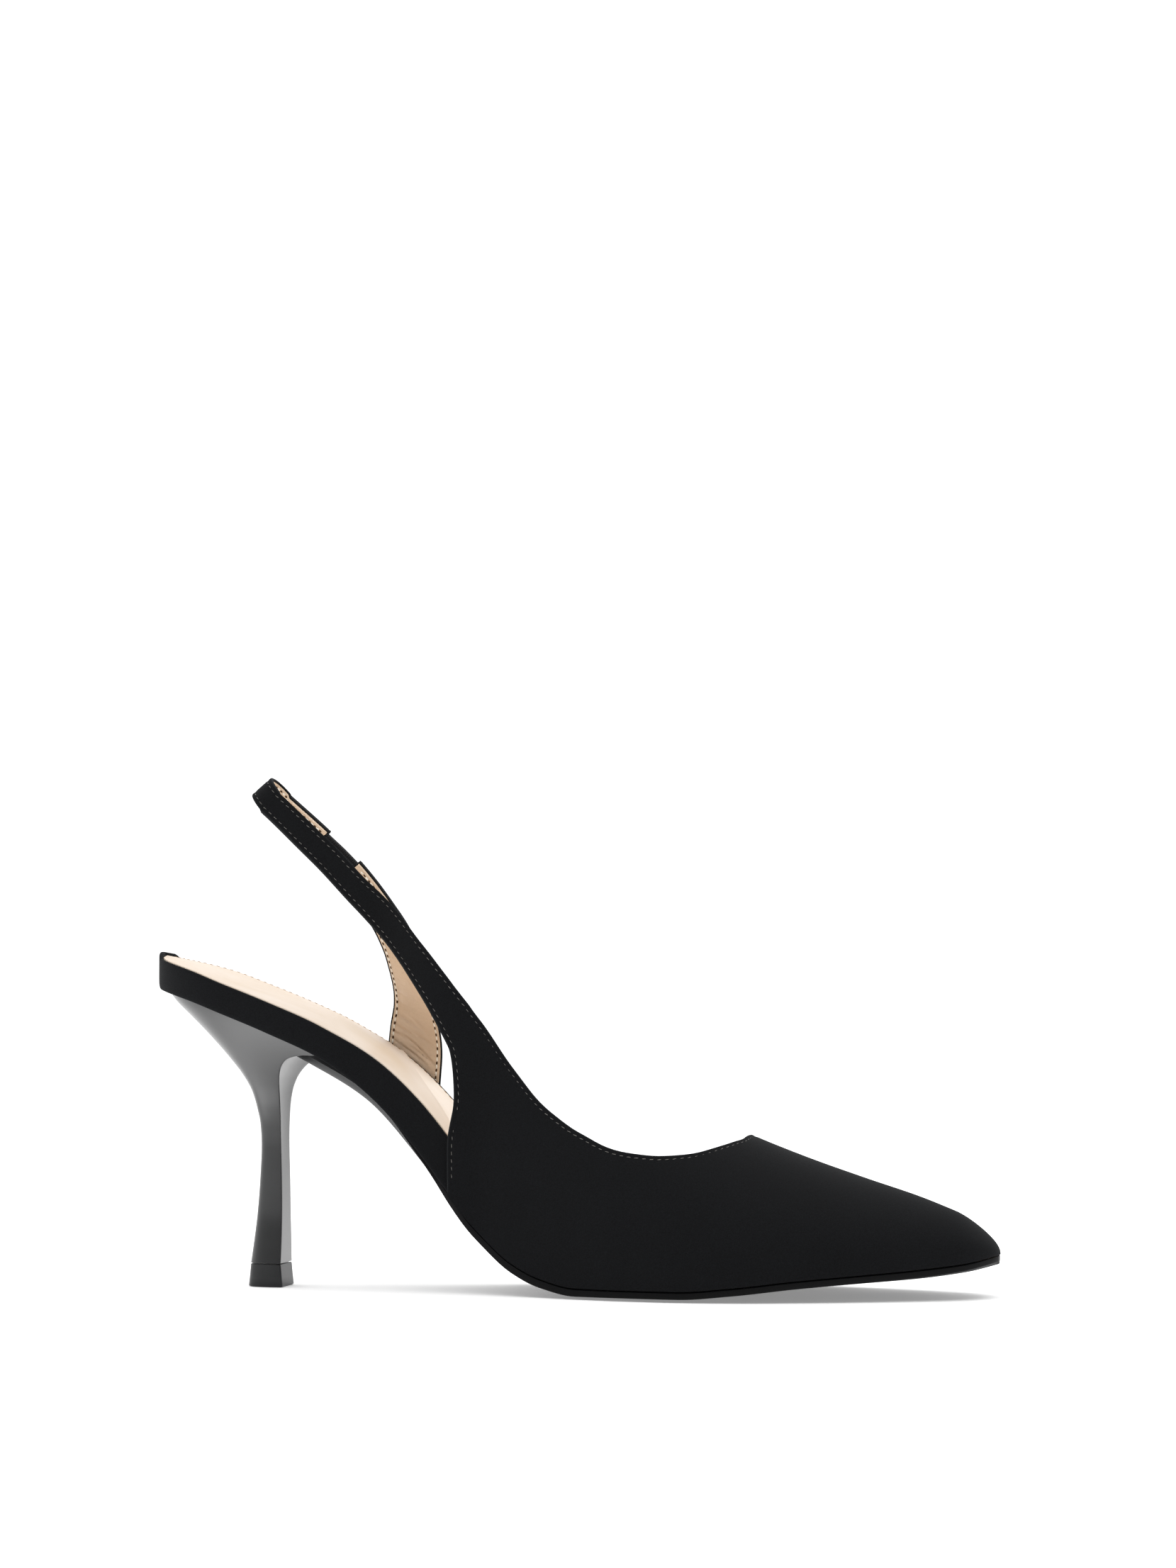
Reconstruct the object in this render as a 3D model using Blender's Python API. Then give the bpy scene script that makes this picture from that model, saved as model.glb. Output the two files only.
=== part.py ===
"""Slingback pump for a right foot, on a flared stiletto heel.

Metres, +Z up. The origin is the middle of the heel tip's ground face, +X runs to the toe
and +Y to the medial side. Every soft piece is laid on one last: a station on it is a share
of the last's length, and an angle climbs from the feather line, 0, to the ridge, 90.
"""
import math
from collections import namedtuple

import bmesh
import bpy

# The last
LENGTH = 0.2407
SEAT_BACK = 0.0346
HEEL_RISE = 0.0838
TOE_SPRING = 0.0088
SEAT_WIDTH = 0.0484
BALL_WIDTH = 0.0684
INSTEP = 0.0383
TOE_ROUND = 0.0100
TOE_DOME = 0.0120
SEAT_ROUND = 0.0260
SEAT_TRIM = 0.0014
CHEEK = 0.0012

# Walls, layers and the clearance between neighbours
CLEAR = 0.0003
WALL = 0.0015
BOARD = 0.0088
BOARD_EDGE = 0.0016
BOARD_RIM = 0.0012
BOARD_DROOP = 0.0013
SOCK = 0.0009
OUTSOLE = 0.0019
OUTSOLE_EDGE = 0.0006
OUTSOLE_CROWN = 0.0008
OUTSOLE_TUCK = 0.0024
OUTSOLE_INSET = 0.0005

# Sling strap and elastic
STRAP_WIDTH = 0.0080
STRAP_SPREAD = 0.0126
ELASTIC_WALL = 0.0009
ELASTIC_INSET = 0.0009

# Heel and top piece
HEEL_TOP_DEPTH = 0.0490
HEEL_TOP_WIDTH = 0.0442
HEEL_NECK_WIDTH = 0.0091
BREAST_CURVE = 0.0080
TIP_DEPTH = 0.0111
TIP_WIDTH = 0.0122
TOP_PIECE = 0.0065
SQUARENESS = 2.7

# Where pieces start and end along the last
SEAT_END = 0.150
TOE_START = 0.920
BOARD_END = 0.982
BREAST_FADE = 0.420
SOCK_END = 0.970
OUTSOLE_FLARE_START = 0.355
OUTSOLE_FLARE_END = 0.410
TREAD_START = 0.590
TREAD_END = 0.660
OUTSOLE_END = 0.9985

OUTER = CLEAR + WALL
MERGE = 1e-6

# bed and spring: underside height as shares of HEEL_RISE and TOE_SPRING
# seat, lateral and medial: half width as shares of half SEAT_WIDTH and half BALL_WIDTH
# ridge: height of the last over its bed, share of INSTEP; board: share of BOARD
# sole: share of OUTSOLE; droop: how far the board's wrapped edge hangs, share of BOARD_DROOP
Section = namedtuple("Section", "along bed spring seat lateral medial ridge board sole droop")
LAST = [
    Section(0.000, 1.0000, 0.000, 1.00, 0.000, 0.000, 2.17, 0.88, 1.00, 1.0),
    Section(0.070, 0.9445, 0.000, 1.00, 0.000, 0.000, 2.17, 0.87, 1.00, 1.0),
    Section(0.108, 0.9040, 0.000, 1.00, 0.000, 0.000, 2.17, 0.86, 1.00, 1.0),
    Section(0.165, 0.8380, 0.000, 0.85, 0.105, 0.098, 2.17, 0.88, 1.00, 1.0),
    Section(0.227, 0.7540, 0.000, 0.50, 0.304, 0.298, 2.17, 0.92, 0.92, 1.0),
    Section(0.289, 0.6190, 0.000, 0.20, 0.461, 0.455, 2.17, 1.21, 0.46, 1.0),
    Section(0.343, 0.4370, 0.000, 0.05, 0.540, 0.540, 2.17, 1.60, 0.95, 0.6),
    Section(0.379, 0.2920, 0.000, 0.00, 0.576, 0.580, 2.17, 1.80, 1.00, 0.0),
    Section(0.414, 0.1780, 0.000, 0.00, 0.591, 0.596, 2.16, 1.56, 1.00, 0.0),
    Section(0.458, 0.0730, 0.000, 0.00, 0.672, 0.652, 2.05, 1.04, 1.00, 0.0),
    Section(0.493, 0.0272, 0.000, 0.00, 0.748, 0.705, 1.92, 0.70, 1.00, 0.0),
    Section(0.538, 0.0010, 0.000, 0.00, 0.848, 0.789, 1.71, 0.50, 1.00, 0.0),
    Section(0.590, 0.0000, 0.000, 0.00, 0.946, 0.892, 1.45, 0.42, 1.00, 0.0),
    Section(0.660, 0.0000, 0.000, 0.00, 1.006, 0.988, 1.19, 0.40, 1.00, 0.0),
    Section(0.718, 0.0000, 0.120, 0.00, 0.982, 0.996, 1.00, 0.40, 1.00, 0.0),
    Section(0.787, 0.0000, 0.330, 0.00, 0.874, 0.906, 0.782, 0.40, 1.00, 0.0),
    Section(0.850, 0.0000, 0.480, 0.00, 0.725, 0.766, 0.610, 0.38, 1.00, 0.0),
    Section(0.912, 0.0000, 0.625, 0.00, 0.542, 0.591, 0.446, 0.34, 1.00, 0.0),
    Section(0.966, 0.0000, 0.800, 0.00, 0.365, 0.405, 0.268, 0.28, 0.90, 0.0),
    Section(1.000, 0.0000, 1.000, 0.00, 0.270, 0.285, 0.145, 0.24, 0.80, 0.0),
]

# Lateral cross-lines, from the throat back to the top of the quarter's rear edge
Cross = namedtuple("Cross", "low_along low_angle top_along top_angle")
LATERAL = [
    Cross(0.718, 0.0, 0.7180, 90.0),
    Cross(0.700, 0.0, 0.7155, 78.0),
    Cross(0.672, 0.0, 0.7050, 68.5),
    Cross(0.630, 0.0, 0.6690, 53.0),
    Cross(0.570, 0.0, 0.6170, 43.2),
    Cross(0.515, 0.0, 0.5580, 39.0),
    Cross(0.465, 0.0, 0.5030, 38.9),
    Cross(0.418, 0.0, 0.4540, 41.5),
    Cross(0.380, 0.0, 0.4240, 43.0),
    Cross(0.379, 9.2, 0.4130, 43.5),
    Cross(0.386, 19.5, 0.4050, 43.8),
    Cross(0.378, 28.4, 0.3970, 44.1),
]

# The strap: its upper edge, the lean of its width below level, its width as a share
Strap = namedtuple("Strap", "top_along top_angle lean width")
SLING = [
    Strap(0.377, 44.1, 34.7, 1.21),
    Strap(0.331, 42.1, 36.6, 1.10),
    Strap(0.274, 41.4, 42.0, 1.04),
    Strap(0.219, 45.0, 43.5, 0.99),
    Strap(0.158, 52.1, 40.4, 0.96),
]
SLING_END = 15.20
BAND_START = 14.56

# Half gap between the two sides of the strap, share of half STRAP_SPREAD
Spread = namedtuple("Spread", "along share")
SPREAD = [
    Spread(0.150, 1.00),
    Spread(0.200, 1.00),
    Spread(0.245, 1.08),
    Spread(0.275, 1.20),
    Spread(0.303, 1.42),
    Spread(0.330, 1.75),
    Spread(0.380, 2.40),
]
LEAN_START = 0.275
LEAN_END = 0.420
HUG_HEIGHT = 0.52
FREE_HEIGHT = 1.17

# Medial wing, from the throat back to its end at the arch
MEDIAL = [
    Cross(0.718, 0.0, 0.7180, 90.0),
    Cross(0.700, 0.0, 0.7155, 78.0),
    Cross(0.672, 0.0, 0.7035, 66.0),
    Cross(0.640, 0.0, 0.6750, 48.0),
    Cross(0.590, 0.0, 0.6320, 33.0),
    Cross(0.535, 0.0, 0.5750, 22.4),
    Cross(0.480, 0.0, 0.5120, 15.4),
    Cross(0.440, 0.0, 0.4570, 11.2),
    Cross(0.418, 0.0, 0.4260, 8.8),
    Cross(0.405, 0.0, 0.4060, 5.6),
]

# Medial band, from just below its end at the elastic down to the feather line
BAND = [
    Strap(0.264, 41.3, 37.0, 1.04),
    Strap(0.285, 39.6, 33.0, 1.17),
    Strap(0.303, 37.0, 16.0, 1.26),
    Strap(0.317, 32.2, -6.0, 1.44),
    Strap(0.327, 24.6, -26.0, 1.88),
    Strap(0.331, 17.4, -38.8, 2.40),
    Strap(0.328, 9.2, -46.0, 2.78),
    Strap(0.323, 0.0, -42.0, 2.60),
]

# Heel rings: lifts are shares of the way from the top piece to the seat above
# back and front: shares of HEEL_TOP_DEPTH; flare: 0 at the neck's width, 1 at the seat's
HeelRing = namedtuple("HeelRing", "back_lift back front_lift front flare curve")
HEEL = [
    HeelRing(0.000, -0.116, 0.000, 0.085, 0.068, 0.00),
    HeelRing(0.080, -0.100, 0.080, 0.087, 0.042, 0.00),
    HeelRing(0.210, -0.078, 0.210, 0.087, 0.014, 0.00),
    HeelRing(0.342, -0.064, 0.342, 0.084, 0.003, 0.00),
    HeelRing(0.475, -0.056, 0.475, 0.079, 0.000, 0.01),
    HeelRing(0.563, -0.063, 0.574, 0.077, 0.012, 0.02),
    HeelRing(0.629, -0.083, 0.662, 0.078, 0.050, 0.03),
    HeelRing(0.695, -0.114, 0.728, 0.082, 0.130, 0.05),
    HeelRing(0.751, -0.169, 0.784, 0.093, 0.260, 0.08),
    HeelRing(0.806, -0.254, 0.839, 0.120, 0.440, 0.14),
    HeelRing(0.861, -0.360, 0.894, 0.174, 0.640, 0.28),
    HeelRing(0.916, -0.480, 0.944, 0.272, 0.815, 0.50),
    HeelRing(0.960, -0.566, 0.980, 0.365, 0.930, 0.78),
    HeelRing(1.000, -0.622, 1.000, 0.405, 1.000, 1.00),
]


def monotone(positions, values, at):
    """Smooth curve through the points that never overshoots them."""
    last = len(positions) - 1
    at = min(max(at, positions[0]), positions[last])
    steps = [positions[i + 1] - positions[i] for i in range(last)]
    slopes = [(values[i + 1] - values[i]) / steps[i] for i in range(last)]
    tangents = [slopes[0]]
    for i in range(1, last):
        before, after = slopes[i - 1], slopes[i]
        if before * after <= 0.0:
            tangents.append(0.0)
        else:
            near = 2.0 * steps[i] + steps[i - 1]
            far = steps[i] + 2.0 * steps[i - 1]
            tangents.append((near + far) / (near / before + far / after))
    tangents.append(slopes[-1])
    i = max(k for k in range(last) if at >= positions[k])
    t = (at - positions[i]) / steps[i]
    return ((1.0 + 2.0 * t) * (1.0 - t) ** 2 * values[i]
            + t * (1.0 - t) ** 2 * steps[i] * tangents[i]
            + t * t * (3.0 - 2.0 * t) * values[i + 1]
            + t * t * (t - 1.0) * steps[i] * tangents[i + 1])


def column(rows, name, at):
    return monotone([row[0] for row in rows], [getattr(row, name) for row in rows], at)


def between(rows, index):
    """A row of the table at a fractional index, every column smooth."""
    places = list(range(len(rows)))
    return type(rows[0])(*(monotone(places, list(values), index) for values in zip(*rows)))


def ease(start, end, at):
    t = min(max((at - start) / (end - start), 0.0), 1.0)
    return t * t * (3.0 - 2.0 * t)


def mix(a, b, share):
    return a + (b - a) * share


def round_off(distance, radius):
    """Quarter-round from 0 at the end to 1 at the radius."""
    left = 1.0 - min(max(distance, 0.0), radius) / radius
    return math.sqrt(1.0 - left * left)


def spaced(start, end, count):
    """Stations that crowd towards the end."""
    return [mix(start, end, math.sin(math.pi / 2.0 * k / count)) for k in range(count + 1)]


def x_at(along):
    return along * LENGTH - SEAT_BACK


def along_at(x):
    return (x + SEAT_BACK) / LENGTH


def bed(x):
    along = along_at(x)
    rise = HEEL_RISE * column(LAST, "bed", along) + TOE_SPRING * column(LAST, "spring", along)
    return OUTSOLE_CROWN + OUTSOLE + CLEAR + rise


def half_width(along, side):
    name = "lateral" if side < 0 else "medial"
    half = 0.5 * (SEAT_WIDTH * column(LAST, "seat", along) + BALL_WIDTH * column(LAST, name, along))
    return half


def rounding(along):
    """Plan rounding of the seat's back and of the toe."""
    seat = round_off(along * LENGTH - SEAT_TRIM, SEAT_ROUND)
    return seat * round_off((1.0 - along) * LENGTH, TOE_ROUND)


def ridge(along):
    return INSTEP * column(LAST, "ridge", along)


def last_height(along, grow):
    return (ridge(along) + grow) * round_off((1.0 - along) * LENGTH, TOE_DOME)


def last_half(along, angle, side, grow):
    """Distance of the last's side from the middle plane."""
    a = math.radians(angle)
    half = (half_width(along, side) + grow) * rounding(along)
    cheek = CHEEK * math.sin(2.0 * a) * math.cos(a) ** 2 * rounding(along)
    return half * math.cos(a) + cheek


def skin(along, angle, side, grow):
    """Point on the last swollen by grow; higher up at the back it leans in to the strap."""
    rise = last_height(along, grow) * math.sin(math.radians(angle))
    on_last = last_half(along, angle, side, grow)
    strap = 0.5 * STRAP_SPREAD * column(SPREAD, "share", along) + grow - OUTER
    free = ease(HUG_HEIGHT * INSTEP, FREE_HEIGHT * INSTEP, rise)
    lean = free * (1.0 - ease(LEAN_START, LEAN_END, along))
    x = x_at(along) + grow * along ** 8
    return x, side * mix(on_last, strap, lean), bed(x_at(along)) + rise


def angle_at(x, z):
    rise = (z - bed(x)) / last_height(along_at(x), OUTER)
    return math.degrees(math.asin(min(max(rise, 0.0), 1.0)))


def strap_cross(row):
    """Cross-line of a strap: its lower edge hangs STRAP_WIDTH below its upper edge."""
    x = x_at(row.top_along)
    z = bed(x) + last_height(row.top_along, OUTER) * math.sin(math.radians(row.top_angle))
    lean = math.radians(row.lean)
    x -= STRAP_WIDTH * row.width * math.cos(lean)
    z -= STRAP_WIDTH * row.width * math.sin(lean)
    return Cross(along_at(x), angle_at(x, z), row.top_along, row.top_angle)


LATERAL_LINES = LATERAL + [strap_cross(row) for row in SLING]
BAND_LINES = [between(LATERAL_LINES, BAND_START)] + [strap_cross(row) for row in BAND]


def cross_point(cross, share, side, grow):
    along = mix(cross.low_along, cross.top_along, share)
    angle = mix(cross.low_angle, cross.top_angle, share)
    return skin(along, angle, side, grow)


def loop_point(turn, share, grow):
    """The strap's bend round the back of the foot, about an axis along its width."""
    start = LATERAL_LINES[-1]
    low = cross_point(start, 0.0, 1.0, OUTER)
    top = cross_point(start, 1.0, 1.0, OUTER)
    width = math.hypot(top[0] - low[0], top[2] - low[2])
    across = ((top[0] - low[0]) / width, (top[2] - low[2]) / width)
    radius = 0.5 * STRAP_SPREAD + grow - OUTER
    reach = radius * math.sin(turn)
    x = mix(low[0], top[0], share) - across[1] * reach
    z = mix(low[2], top[2], share) + across[0] * reach
    return x, -radius * math.cos(turn), z


def upper_lines():
    """Cross-lines of the whole upper, from the medial wing's end to the strap's end."""
    lines = []
    medial_steps = 2 * (len(MEDIAL) - 1)
    for k in range(medial_steps, 0, -1):
        lines.append(("cross", between(MEDIAL, k / 2.0), 1.0))
    vamp = spaced(MEDIAL[0].top_along, 1.0, 13)
    lines += [("cross", Cross(along, 0.0, along, 90.0), 1.0) for along in vamp[:-1]]
    lines += [("cross", Cross(along, 0.0, along, 90.0), -1.0) for along in reversed(vamp)]
    lateral_steps = 2 * (len(LATERAL_LINES) - 1)
    lines += [("cross", between(LATERAL_LINES, k / 2.0), -1.0) for k in range(1, lateral_steps + 1)]
    lines += [("loop", math.pi * k / 8.0, 0.0) for k in range(1, 8)]
    strap_start = len(LATERAL_LINES) - 1
    far_end = [mix(strap_start, SLING_END, k / 3.0) for k in range(4)]
    lines += [("cross", between(LATERAL_LINES, index), 1.0) for index in far_end]
    return lines


def line_point(line, share, grow):
    kind, value, side = line
    if kind == "loop":
        return loop_point(value, share, grow)
    return cross_point(value, share, side, grow)


def grid(row_count, column_count, place):
    """A sheet of row_count by column_count points, with coincident points merged."""
    bm = bmesh.new()
    bmesh.ops.create_grid(bm, x_segments=row_count - 1, y_segments=column_count - 1, size=1.0)
    row_layer = bm.verts.layers.int.new("row")
    column_layer = bm.verts.layers.int.new("column")
    for vert in bm.verts:
        vert[row_layer] = round((vert.co.x + 1.0) / 2.0 * (row_count - 1))
        vert[column_layer] = round((vert.co.y + 1.0) / 2.0 * (column_count - 1))
    for vert in bm.verts:
        vert.co = place(vert[row_layer], vert[column_layer])
    bmesh.ops.remove_doubles(bm, verts=bm.verts, dist=MERGE)
    return bm, row_layer, column_layer


def shell(name, lines, shares, outside, inside, material):
    """A walled sheet over cross-lines: its outer face is swollen by outside, its inner by inside."""
    def outer_point(row, col):
        return line_point(lines[row], shares[col], outside)

    bm, row_layer, column_layer = grid(len(lines), len(shares), outer_point)
    wall = bmesh.ops.extrude_face_region(bm, geom=bm.faces[:])
    for vert in wall["geom"]:
        if isinstance(vert, bmesh.types.BMVert):
            vert.co = line_point(lines[vert[row_layer]], shares[vert[column_layer]], inside)
    return finish(name, bm, material)


def tube(name, rings, material):
    """A closed solid through rings of points, flat at both ends."""
    count = len(rings[0])
    bm, _, _ = grid(len(rings), count + 1, lambda row, col: rings[row][col % count])
    bmesh.ops.holes_fill(bm, edges=[edge for edge in bm.edges if edge.is_boundary])
    return finish(name, bm, material)


def finish(name, bm, material):
    bmesh.ops.triangulate(bm, faces=bm.faces[:])
    bmesh.ops.recalc_face_normals(bm, faces=bm.faces[:])
    if bm.calc_volume(signed=True) < 0.0:
        bmesh.ops.reverse_faces(bm, faces=bm.faces[:])
    mesh = bpy.data.meshes.new(name)
    bm.to_mesh(mesh)
    bm.free()
    mesh.materials.append(material)
    mesh.shade_smooth()
    mesh.set_sharp_from_angle(angle=math.radians(38.0))
    obj = bpy.data.objects.new(name, mesh)
    bpy.context.scene.collection.objects.link(obj)
    return obj


def even(count):
    return [k / count for k in range(count + 1)]


def paint(name, colour, roughness, metallic=0.0):
    material = bpy.data.materials.new(name)
    material.use_nodes = True
    shader = material.node_tree.nodes["Principled BSDF"]
    shader.inputs["Base Color"].default_value = (*colour, 1.0)
    shader.inputs["Roughness"].default_value = roughness
    shader.inputs["Metallic"].default_value = metallic
    return material


def board_height(along):
    return BOARD * column(LAST, "board", along)


def side_at(along, height, side):
    """Where the last's side stands at a height over its bed."""
    rise = min(height / last_height(along, 0.0), 1.0)
    return last_half(along, math.degrees(math.asin(rise)), side, 0.0)


def board_stations():
    """Stations from the seat's round back to the toe, closer together at both ends."""
    start = (SEAT_TRIM + MERGE * 100.0) / LENGTH
    back = spaced(SEAT_END, start, 9)[::-1]
    middle = [mix(SEAT_END, TOE_START, k / 30.0) for k in range(1, 31)]
    toe = [mix(TOE_START, BOARD_END, k / 4.0) for k in range(1, 5)]
    return back + middle + toe


def seat_end(along):
    """1 at the very back of the seat, 0 a little way in."""
    return 1.0 - round_off(along * LENGTH - SEAT_TRIM, 2.0 * BOARD_EDGE)


def rim_inside(along, side):
    """Inner side of the board's wrapped rim."""
    brow = side_at(along, board_height(along), side)
    return brow - min(BOARD_RIM, 0.4 * brow)


def sock_floor(along):
    """Height over the bed of the board's recess for the sock lining."""
    return board_height(along) - CLEAR - SOCK


def board_ring(along):
    """Wrapped board: soft corners, an edge that hangs over the sole, a rim round the sock."""
    x = x_at(along)
    base = bed(x)
    droop = BOARD_DROOP * column(LAST, "droop", along)
    low = base - droop + 2.0 * seat_end(along) * BOARD_EDGE
    ring = []
    for side in (-1.0, 1.0):
        foot = side_at(along, BOARD_EDGE, side)
        brow = side_at(along, board_height(along), side)
        corner = min(BOARD_EDGE, 0.3 * foot)
        rim = rim_inside(along, side)
        half_ring = [
            (x, side * min(foot - corner, seat_half(along, side) + CLEAR), base),
            (x, side * (foot - 0.4 * corner), low),
            (x, side * foot, low + corner),
            (x, side * brow, base + board_height(along) - 0.4 * corner),
            (x, side * mix(brow, rim, 0.5), base + board_height(along)),
            (x, side * rim, base + board_height(along) - 0.3 * corner),
            (x, side * (rim - 0.1 * corner), base + sock_floor(along)),
        ]
        ring += half_ring if side < 0 else half_ring[::-1]
    return ring


def sock_ring(along):
    """Sock lining, laid in the board's recess inside its rim."""
    x = x_at(along)
    low = bed(x) + sock_floor(along) + CLEAR
    ring = []
    for side in (-1.0, 1.0):
        edge = rim_inside(along, side) - min(CLEAR + 0.1 * BOARD_EDGE, 0.3 * rim_inside(along, side))
        half_ring = [
            (x, side * 0.5 * edge, low),
            (x, side * edge, low),
            (x, side * edge, low + 0.6 * SOCK),
            (x, side * (edge - min(0.4 * SOCK, 0.2 * edge)), low + SOCK),
            (x, side * 0.5 * edge, low + SOCK),
        ]
        ring += half_ring if side < 0 else half_ring[::-1]
    return ring


def seat_half(along, side):
    """Half width of what lies between the board's hanging edges."""
    return max(half_width(along, side) * rounding(along) - OUTSOLE_TUCK, 0.0)


def outsole_half(along, side):
    tucked = seat_half(along, side)
    full = (half_width(along, side) + OUTER - OUTSOLE_INSET) * rounding(along)
    return mix(tucked, full, ease(OUTSOLE_FLARE_START, OUTSOLE_FLARE_END, along))


def outsole_ring(along, fade):
    """Sole section; near its back end it bows back into the heel's hollow breast."""
    toe = OUTER * along ** 8
    shares = (-1.0, -0.5, 0.0, 0.5, 1.0)

    def point(share, inset, height):
        half = outsole_half(along, math.copysign(1.0, share)) - inset
        x = x_at(along) - fade * BREAST_CURVE * (1.0 - share * share)
        return x + toe, share * half, bed(x) - CLEAR + height

    thick = OUTSOLE * column(LAST, "sole", along)
    crown = OUTSOLE_CROWN * column(LAST, "sole", along)
    edge = min(OUTSOLE_EDGE, 0.4 * thick)
    ring = []
    for share in shares:
        ring.append(point(share, edge, -thick - (0.0 if abs(share) == 1.0 else crown)))
    ring.append(point(1.0, 0.0, edge - thick))
    for share in reversed(shares):
        ring.append(point(share, 0.0, 0.0))
    ring.append(point(-1.0, 0.0, edge - thick))
    return ring


def outsole_stations():
    start = along_at(HEEL[-1].front * HEEL_TOP_DEPTH + CLEAR)
    stations = [mix(start, TREAD_START, k / 18.0) for k in range(19)]
    stations += spaced(TREAD_END, OUTSOLE_END, 14)
    return start, stations


def heel_half(ring):
    return 0.5 * mix(HEEL_NECK_WIDTH, HEEL_TOP_WIDTH, ring.flare)


def heel_ring(ring, turns=9, breast=5):
    """One ring of the heel: a squarish bow round the back, then the hollowed breast."""
    back = ring.back * HEEL_TOP_DEPTH
    front = ring.front * HEEL_TOP_DEPTH
    half = heel_half(ring)
    floor = TOP_PIECE + CLEAR
    points = []
    for k in range(turns + 1):
        turn = math.pi * (k / turns - 0.5)
        x = front - (front - back) * abs(math.cos(turn)) ** (2.0 / SQUARENESS)
        y = half * math.copysign(abs(math.sin(turn)) ** (2.0 / SQUARENESS), math.sin(turn))
        points.append((x, y))
    for k in range(1, breast):
        share = 1.0 - 2.0 * k / breast
        points.append((front - ring.curve * BREAST_CURVE * (1.0 - share * share), share * half))
    placed = []
    for x, y in points:
        if ring.back_lift == 1.0:
            y = math.copysign(min(abs(y), seat_half(along_at(x), math.copysign(1.0, y))), y)
        lift = mix(ring.back_lift, ring.front_lift, (x - back) / (front - back))
        placed.append((x, y, floor + lift * (bed(x) - CLEAR - floor)))
    return placed


def tip_ring(height, flare):
    """One level ring of the top piece."""
    bottom = HEEL[0]
    middle = 0.5 * (bottom.back + bottom.front) * HEEL_TOP_DEPTH
    ring = heel_ring(bottom)
    depth = (bottom.front - bottom.back) * HEEL_TOP_DEPTH
    grow_x = flare * TIP_DEPTH / depth
    grow_y = flare * TIP_WIDTH / (2.0 * heel_half(bottom))
    return [(middle + (x - middle) * grow_x, y * grow_y, height) for x, y, _ in ring]


def elastic_lines():
    """Cross-lines of the elastic, between the strap's end and the band's."""
    run = math.dist(cross_point(between(LATERAL_LINES, SLING_END), 0.5, 1.0, OUTER),
                    cross_point(between(LATERAL_LINES, BAND_START), 0.5, 1.0, OUTER))
    gap = CLEAR * (SLING_END - BAND_START) / run
    ends = (SLING_END - gap, BAND_START + gap)
    return [("cross", between(LATERAL_LINES, mix(*ends, k / 4.0)), 1.0) for k in range(5)]


def build():
    suede = paint("black_suede", (0.010, 0.010, 0.011), 0.95)
    elastic = paint("black_elastic", (0.012, 0.012, 0.013), 0.80)
    nude = paint("nude_leather", (0.74, 0.60, 0.46), 0.35)
    gloss = paint("gloss_black", (0.020, 0.021, 0.022), 0.20)
    rubber = paint("dark_rubber", (0.045, 0.047, 0.050), 0.60)

    columns = even(9)
    shell("upper", upper_lines(), columns, OUTER, CLEAR, suede)
    band_lines = [("cross", between(BAND_LINES, k / 2.0), 1.0) for k in range(2 * len(BAND_LINES) - 1)]
    shell("medial_band", band_lines, even(5), OUTER, CLEAR, suede)
    inset = ELASTIC_INSET / STRAP_WIDTH
    elastic_shares = [mix(inset, 1.0 - inset, share) for share in even(3)]
    middle = 0.5 * (OUTER + CLEAR)
    shell("elastic", elastic_lines(), elastic_shares,
          middle + 0.5 * ELASTIC_WALL, middle - 0.5 * ELASTIC_WALL, elastic)

    stations = board_stations()
    tube("footbed", [board_ring(along) for along in stations], suede)
    sock_stations = [along for along in stations if along * LENGTH > SEAT_TRIM + BOARD_RIM and along < SOCK_END]
    tube("sock_lining", [sock_ring(along) for along in sock_stations], nude)
    start, stations = outsole_stations()
    fades = [1.0 - ease(start, BREAST_FADE, along) for along in stations]
    tube("outsole", [outsole_ring(along, fade) for along, fade in zip(stations, fades)], rubber)
    heel_rows = [between(HEEL, k / 2.0) for k in range(2 * len(HEEL) - 1)]
    tube("heel", [heel_ring(ring) for ring in heel_rows], gloss)
    tube("top_piece", [tip_ring(0.0, 1.0), tip_ring(TOP_PIECE, 0.965)], rubber)


for old in list(bpy.data.objects):
    bpy.data.objects.remove(old, do_unlink=True)
build()
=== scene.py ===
"""Looks of a slingback pump for a right foot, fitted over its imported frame.

Metres, +Z up, +X to the toe, +Y to the medial side, as in the frame. The fine pieces are laid on
the same last as the solids they replace: a station on it is a share of its length, and an angle
climbs from the feather line, 0, to the ridge, 90.
"""

import math
from bisect import bisect_right
from collections import namedtuple

import bmesh
import bpy
from mathutils import Matrix, Vector
from mathutils.kdtree import KDTree


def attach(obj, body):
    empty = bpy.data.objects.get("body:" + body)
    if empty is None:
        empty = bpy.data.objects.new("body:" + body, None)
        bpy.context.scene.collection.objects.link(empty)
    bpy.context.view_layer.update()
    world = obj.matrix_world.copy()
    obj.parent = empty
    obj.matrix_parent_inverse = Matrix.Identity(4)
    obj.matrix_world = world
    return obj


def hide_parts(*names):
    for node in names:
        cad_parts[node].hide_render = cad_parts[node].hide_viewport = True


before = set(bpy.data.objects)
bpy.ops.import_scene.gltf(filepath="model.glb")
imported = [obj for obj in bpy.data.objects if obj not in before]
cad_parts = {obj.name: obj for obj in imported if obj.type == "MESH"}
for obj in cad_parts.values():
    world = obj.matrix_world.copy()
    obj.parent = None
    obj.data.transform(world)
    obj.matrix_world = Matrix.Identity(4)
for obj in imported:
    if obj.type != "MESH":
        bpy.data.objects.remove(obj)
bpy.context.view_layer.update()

# The last
LENGTH = 0.2407
SEAT_BACK = 0.0346
HEEL_RISE = 0.0838
TOE_SPRING = 0.0088
SEAT_WIDTH = 0.0484
BALL_WIDTH = 0.0684
INSTEP = 0.0383
TOE_ROUND = 0.0100
TOE_DOME = 0.0120
SEAT_ROUND = 0.0260
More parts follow.
